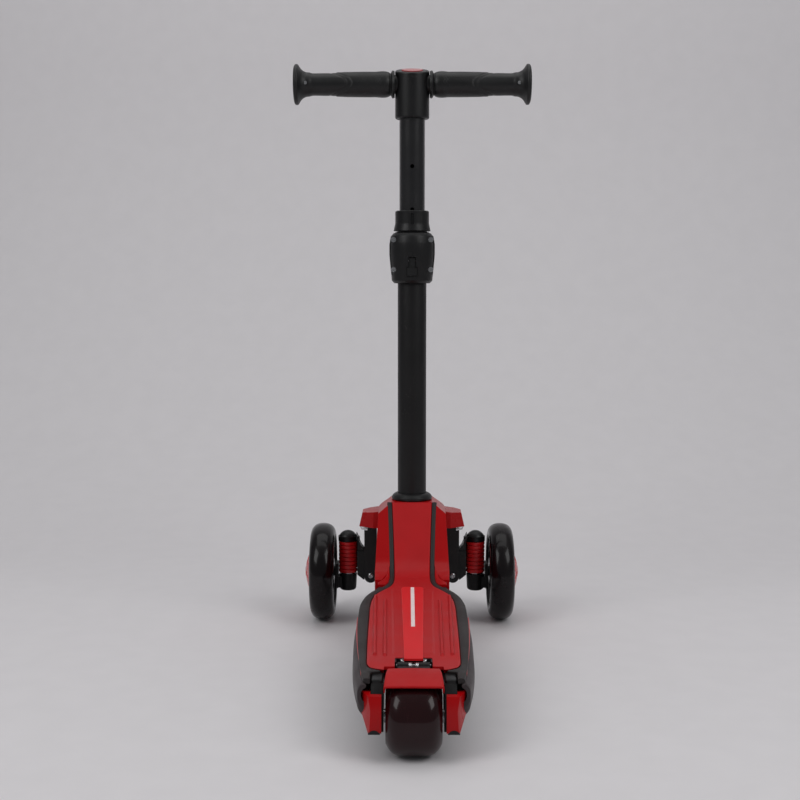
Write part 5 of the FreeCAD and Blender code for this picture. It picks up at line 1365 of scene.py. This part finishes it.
@dataclass
class FrontWheel:
    """One front wheel with its hub cap."""

    layout: Layout
    side: Side
    track_half: float = 111.0
    tyre_half: float = 15.0
    core_r: float = 44.0
    cap_r: float = 29.0
    cap_base: float = 14.0
    cap_dome: float = 7.9

    def placed(self, surface: Surface) -> Surface:
        """The surface on this wheel's side."""
        return surface if self.side is Side.RIGHT else flipped(surface)

    def tyre(self) -> bpy.types.Object:
        """Cast tyre: a round tread between flat sides with a small bead step, turned about the axle."""
        half, radius = self.tyre_half, self.layout.front_r
        t = np.linspace(-1, 1, 49)
        turn = t * math.pi / 2
        tread = np.stack([half * np.sin(turn), radius - 12.5 * (1 - np.cos(turn)) ** 1.15], axis=-1)
        bead = np.array([(half - 0.2, radius - 13.4), (half - 1.4, radius - 14.2), (half - 1.6, self.core_r)])
        profile = np.vstack([tread, bead, (bead * np.array([-1, 1]))[::-1]])
        centre = (self.track_half, self.layout.front_y, radius)
        return make_piece("front_tyre_cast_" + self.side.word, [self.placed(turned(profile, centre, Axis.X, 180))])

    def cap(self) -> bpy.types.Object:
        """Hub cap: a dome whose height falls with the square of the radius, with six shallow petals and a centre
        button, backed by a thin wall."""
        rho = np.concatenate([np.linspace(0, 0.98, 60), [0.992, 1.0]]) * self.cap_r
        angle = np.linspace(0, FULL_TURN, 144, endpoint=False)
        rr = rho[:, None] * np.ones_like(angle)
        share = rr / self.cap_r
        petal = ease((np.cos(6 * angle) - 0.15) / 0.5) * ease((share - 0.34) / 0.08) * ease((0.86 - share) / 0.07)
        button = ease((0.26 - share) / 0.04)
        rim = ease((share - 0.93) / 0.03)
        height = self.cap_dome * (1 - share ** 2) - 0.9 * petal + 0.35 * button - 0.5 * rim
        outer = np.stack([self.cap_base + 0.2 + height, rr * np.cos(angle), rr * np.sin(angle)], axis=-1)
        base, rim_r = self.cap_base, self.cap_r
        tail = np.array([(base - 2.0, rim_r), (base - 9.5, rim_r), (base - 9.5, rim_r - 2), (base - 1.0, rim_r - 2),
                         (base + 1.2, rim_r - 6), (base + 4.6, 8.0), (base + 5.2, 0.0)])
        tail = soft_outline(tail, 0.6, 3, False)
        rest = np.stack([tail[:, :1] * np.ones_like(angle), tail[:, 1:] * np.cos(angle),
                         tail[:, 1:] * np.sin(angle)], axis=-1)
        points = np.concatenate([outer, rest], axis=0)
        points = points + np.array([self.track_half, self.layout.front_y, self.layout.front_r])
        return make_piece("hub_cap_dome_" + self.side.word, [self.placed(grid_surface(points, close_cols=True))])

    def build(self) -> None:
        """Build and dress the wheel."""
        word = self.side.word
        body = "front_wheel_" + word
        settle(self.tyre(), body, TYRE_DARK, "front_tyre_" + word)
        settle(self.cap(), body, HUB_RED, "hub_cap_" + word)
        keep_nodes(CORE_BLACK, "front_wheel_core_" + word)
        keep_nodes(RACE_STEEL, "front_bearings_" + word)


@dataclass
class FrontTruck:
    """Leaning front end: beam, covers, strut housings, knuckles, tie rod and bellows."""

    layout: Layout
    bellows_r: float = 11.5
    bellows_low: float = 58.8
    bellows_high: float = 98.5
    ribs: int = 8
    keep: float = 0.8
    coil_wire: float = 0.9
    coil_turns: int = 7
    coil_keep: float = 0.775
    post_x: float = 51.25
    web_rear: float = 213.0
    web_front: float = 231.0

    def bellows(self, side: Side) -> bpy.types.Object:
        """Ribbed sleeve: its radius follows a wave that is full at the ribs and pinched between them.

        Args:
            side: which strut.

        Returns:
            The sleeve, closed by its inner wall.
        """
        height = self.bellows_high - self.bellows_low
        t = np.linspace(0, 1, self.ribs * 28 + 1)
        wave = 1 - (1 - np.abs(np.sin(math.pi * self.ribs * t))) ** 4
        outer = np.stack([height * t, self.bellows_r - 2.0 + 2.0 * wave], axis=-1)
        inner = np.stack([height * t[::-1], self.bellows_r - 3.1 + 1.8 * wave[::-1]], axis=-1)
        centre = (side.value * self.layout.strut_x, self.layout.front_y, self.bellows_low)
        return make_piece("bellows_sleeve_" + side.word, [turned(np.vstack([outer, inner]), centre, Axis.Z, 96)])

    def coil(self, side: Side) -> bpy.types.Object:
        """Strut spring: a helix that rises more slowly in its end turns.

        Args:
            side: which strut.

        Returns:
            The spring.
        """
        low, high = node_box("strut_spring_right")
        t = np.linspace(0, 1, 361)
        turn = self.coil_turns * FULL_TURN * t
        rise = np.interp(t, [0, 0.12, 0.88, 1], [0, 0.06, 0.94, 1])
        radius = (high[0] - low[0]) / 2 - self.coil_wire
        path = np.stack([self.layout.strut_x + radius * np.cos(turn), self.layout.front_y + radius * np.sin(turn),
                         low[2] + self.coil_wire + (high[2] - low[2] - 2 * self.coil_wire) * rise], axis=-1)
        surface = swept_tube(path, self.coil_wire, 12)
        return make_piece("strut_coil_" + side.word, [surface if side is Side.RIGHT else flipped(surface)])

    def bolts(self) -> bpy.types.Object:
        """Button-head screws on the beam's front cover and on the posts."""
        corners = [(0.0, 0.0), (0.0, 3.6), (1.0, 3.4), (1.9, 2.2), (1.9, 1.4), (1.0, 1.3), (1.0, 0.0)]
        profile = soft_outline(np.array(corners), 0.4, 3, False)
        low, high = node_box("truck_covers")
        spots = [(30.0, high[1] - 0.1, self.layout.lean_h + 6.0), (26.0, high[1] - 0.1, self.layout.lean_h - 8.0)]
        surfaces = [turned(profile, spot, Axis.Y, 32, False) for spot in spots]
        rearward = profile * np.array([-1, 1])
        surfaces.append(turned(rearward, (self.post_x, low[1] + 0.1, low[2] + 9.0), Axis.Y, 32, False))
        return make_piece("cover_screws", both_sides(*surfaces))

    def gussets(self) -> bpy.types.Object:
        """Curved web from each strut housing down to its arm: one outline carried along Y."""
        corners = np.array([(108.5, 69.5), (104.5, 67.4), (98.0, 65.3), (93.2, 63.0), (89.6, 60.2), (88.8, 59.4),
                            (84.5, 59.4), (84.5, 67.6), (100.5, 67.6), (101.0, 69.5)])
        outline = soft_outline(corners, 0.8, 3)
        rear, front = self.web_rear, self.web_front
        web = carried(outline, np.array([rear, rear + 0.6, front - 0.6, front]), np.ones(4), (0, 0, 0), Axis.Y)
        return make_piece("strut_gussets", both_sides(web))

    def squash_up(self, piece: bpy.types.Object) -> None:
        """Give a piece of a strut a mesh of its own.

        Args:
            piece: the piece.
        """
        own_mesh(piece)

    def build(self) -> None:
        """Build and dress the front end."""
        settle_soft("truck_beam", "truck_beam_bar", 1.0, "truck", CASTING)
        settle_soft("truck_covers", "truck_cover_set", 2.0, "truck", SHELL_BLACK, 4)
        settle_soft("strut_housings", "strut_housing_pair", 0.7, "truck", SHELL_BLACK)
        settle(self.bolts(), "truck", STEEL)
        settle(self.gussets(), "truck", SHELL_BLACK)
        keep_nodes(GRIP_BLACK, "lean_bushing")
        keep_nodes(STEEL, "lean_pivot", "tie_rod")
        for side in Side:
            word = side.word
            sleeve = settle(self.bellows(side), "truck", BELLOWS_RED, "bellows_" + word)
            self.squash_up(sleeve)
            settle_soft("knuckle_" + word, "knuckle_bracket_" + word, 0.7, "knuckle_" + word, CASTING)
            coil = settle(self.coil(side), "truck", SPRING, "strut_spring_" + word)
            self.squash_up(coil)
            keep_nodes(STEEL, "strut_rod_" + word)


@dataclass
class Studio:
    """Pale sweep, soft lights and the camera."""

    floor_colour: tuple[int, int, int] = (226, 223, 225)
    camera_at: tuple[float, float, float] = (-0.0068, -1.328, 0.4113)
    camera_turn: tuple[float, float, float] = (85.0, 0.0, 0.29)
    lens: float = 56.25
    sensor: float = 36.0
    lamps: list[tuple[str, tuple, tuple, tuple, float]] = field(default_factory=lambda: [
        ("lamp_left", (-1.35, -1.05, 1.65), (0.0, -0.05, 0.25), (1.1, 1.2), 13.0),
        ("lamp_right", (1.35, -1.05, 1.65), (0.0, -0.05, 0.25), (1.1, 1.2), 13.0),
        ("lamp_top", (0.0, 0.3, 2.4), (0.0, 0.1, 0.0), (2.2, 1.6), 12.5)])

    def sweep(self) -> None:
        """Floor that bends up into a wall: a profile of floor, arc and wall carried across the studio."""
        bend, back, top, wide = 900.0, 1500.0, 3200.0, 6000.0
        arc = np.linspace(0, math.pi / 2, 40)
        curve = np.stack([back - bend + bend * np.sin(arc), bend - bend * np.cos(arc)], axis=-1)
        line = np.vstack([[(-5200.0, 0.0)], curve, [(back, top)]])
        x = np.linspace(-wide, wide, 7)
        points = np.stack([x * np.ones((len(line), 1)), line[:, :1] * np.ones_like(x),
                           line[:, 1:] * np.ones_like(x)], axis=-1)
        rows, cols = points.shape[:2]
        mesh = bpy.data.meshes.new("studio_sweep")
        mesh.from_pydata((points.reshape(-1, 3) * MM).tolist(), [], grid_faces(rows, cols, False, False).tolist())
        mesh.shade_smooth()
        floor = bpy.data.objects.new("studio_sweep", mesh)
        bpy.context.scene.collection.objects.link(floor)
        dress(floor, Finish("studio_paper", "white_inlay", self.floor_colour, roughness=(0.75, 0.85),
                            grain_scale=400.0, grain_depth=0.02, wear=0.0, dust=0.0, mottle=0.02, specular=0.2))

    def lights(self) -> None:
        """Large soft lamps and an even pale surround."""
        for name, place, aim, size, power in self.lamps:
            lamp = bpy.data.lights.new(name, "AREA")
            lamp.shape = "RECTANGLE"
            lamp.size, lamp.size_y = size
            lamp.energy = power
            holder = bpy.data.objects.new(name, lamp)
            holder.location = place
            way = np.array(aim) - np.array(place)
            holder.rotation_euler = (math.acos(-way[2] / np.linalg.norm(way)), 0.0, math.atan2(-way[0], way[1]))
            bpy.context.scene.collection.objects.link(holder)
        world = bpy.data.worlds.new("studio_air")
        world.use_nodes = True
        air = world.node_tree.nodes["Background"]
        air.inputs["Color"].default_value = (0.94, 0.97, 1.0, 1.0)
        air.inputs["Strength"].default_value = 0.22
        bpy.context.scene.world = world

    def camera(self) -> None:
        """Camera behind the scooter, a little above it."""
        data = bpy.data.cameras.new("studio_camera")
        data.lens, data.sensor_width = self.lens, self.sensor
        data.clip_start, data.clip_end = 0.01, 50.0
        holder = bpy.data.objects.new("studio_camera", data)
        holder.location = self.camera_at
        holder.rotation_euler = tuple(math.radians(turn) for turn in self.camera_turn)
        bpy.context.scene.collection.objects.link(holder)
        bpy.context.scene.camera = holder

    def build(self) -> None:
        """Build the studio."""
        self.camera()
        self.sweep()
        self.lights()
        bpy.context.scene.view_settings.view_transform = "Standard"


def main() -> None:
    """Build every sub-assembly in order and note its pieces."""
    logging.basicConfig(level=logging.INFO, format="%(name)s: %(message)s")
    layout = Layout.read()
    Studio().build()
    Deck(layout, SkinLine()).build()
    RearEnd(layout).build()
    Hood(layout).build()
    Stem(layout).build()
    TBar(layout).build()
    for side in Side:
        FrontWheel(layout, side).build()
    FrontTruck(layout).build()


if __name__ == "__main__":
    main()
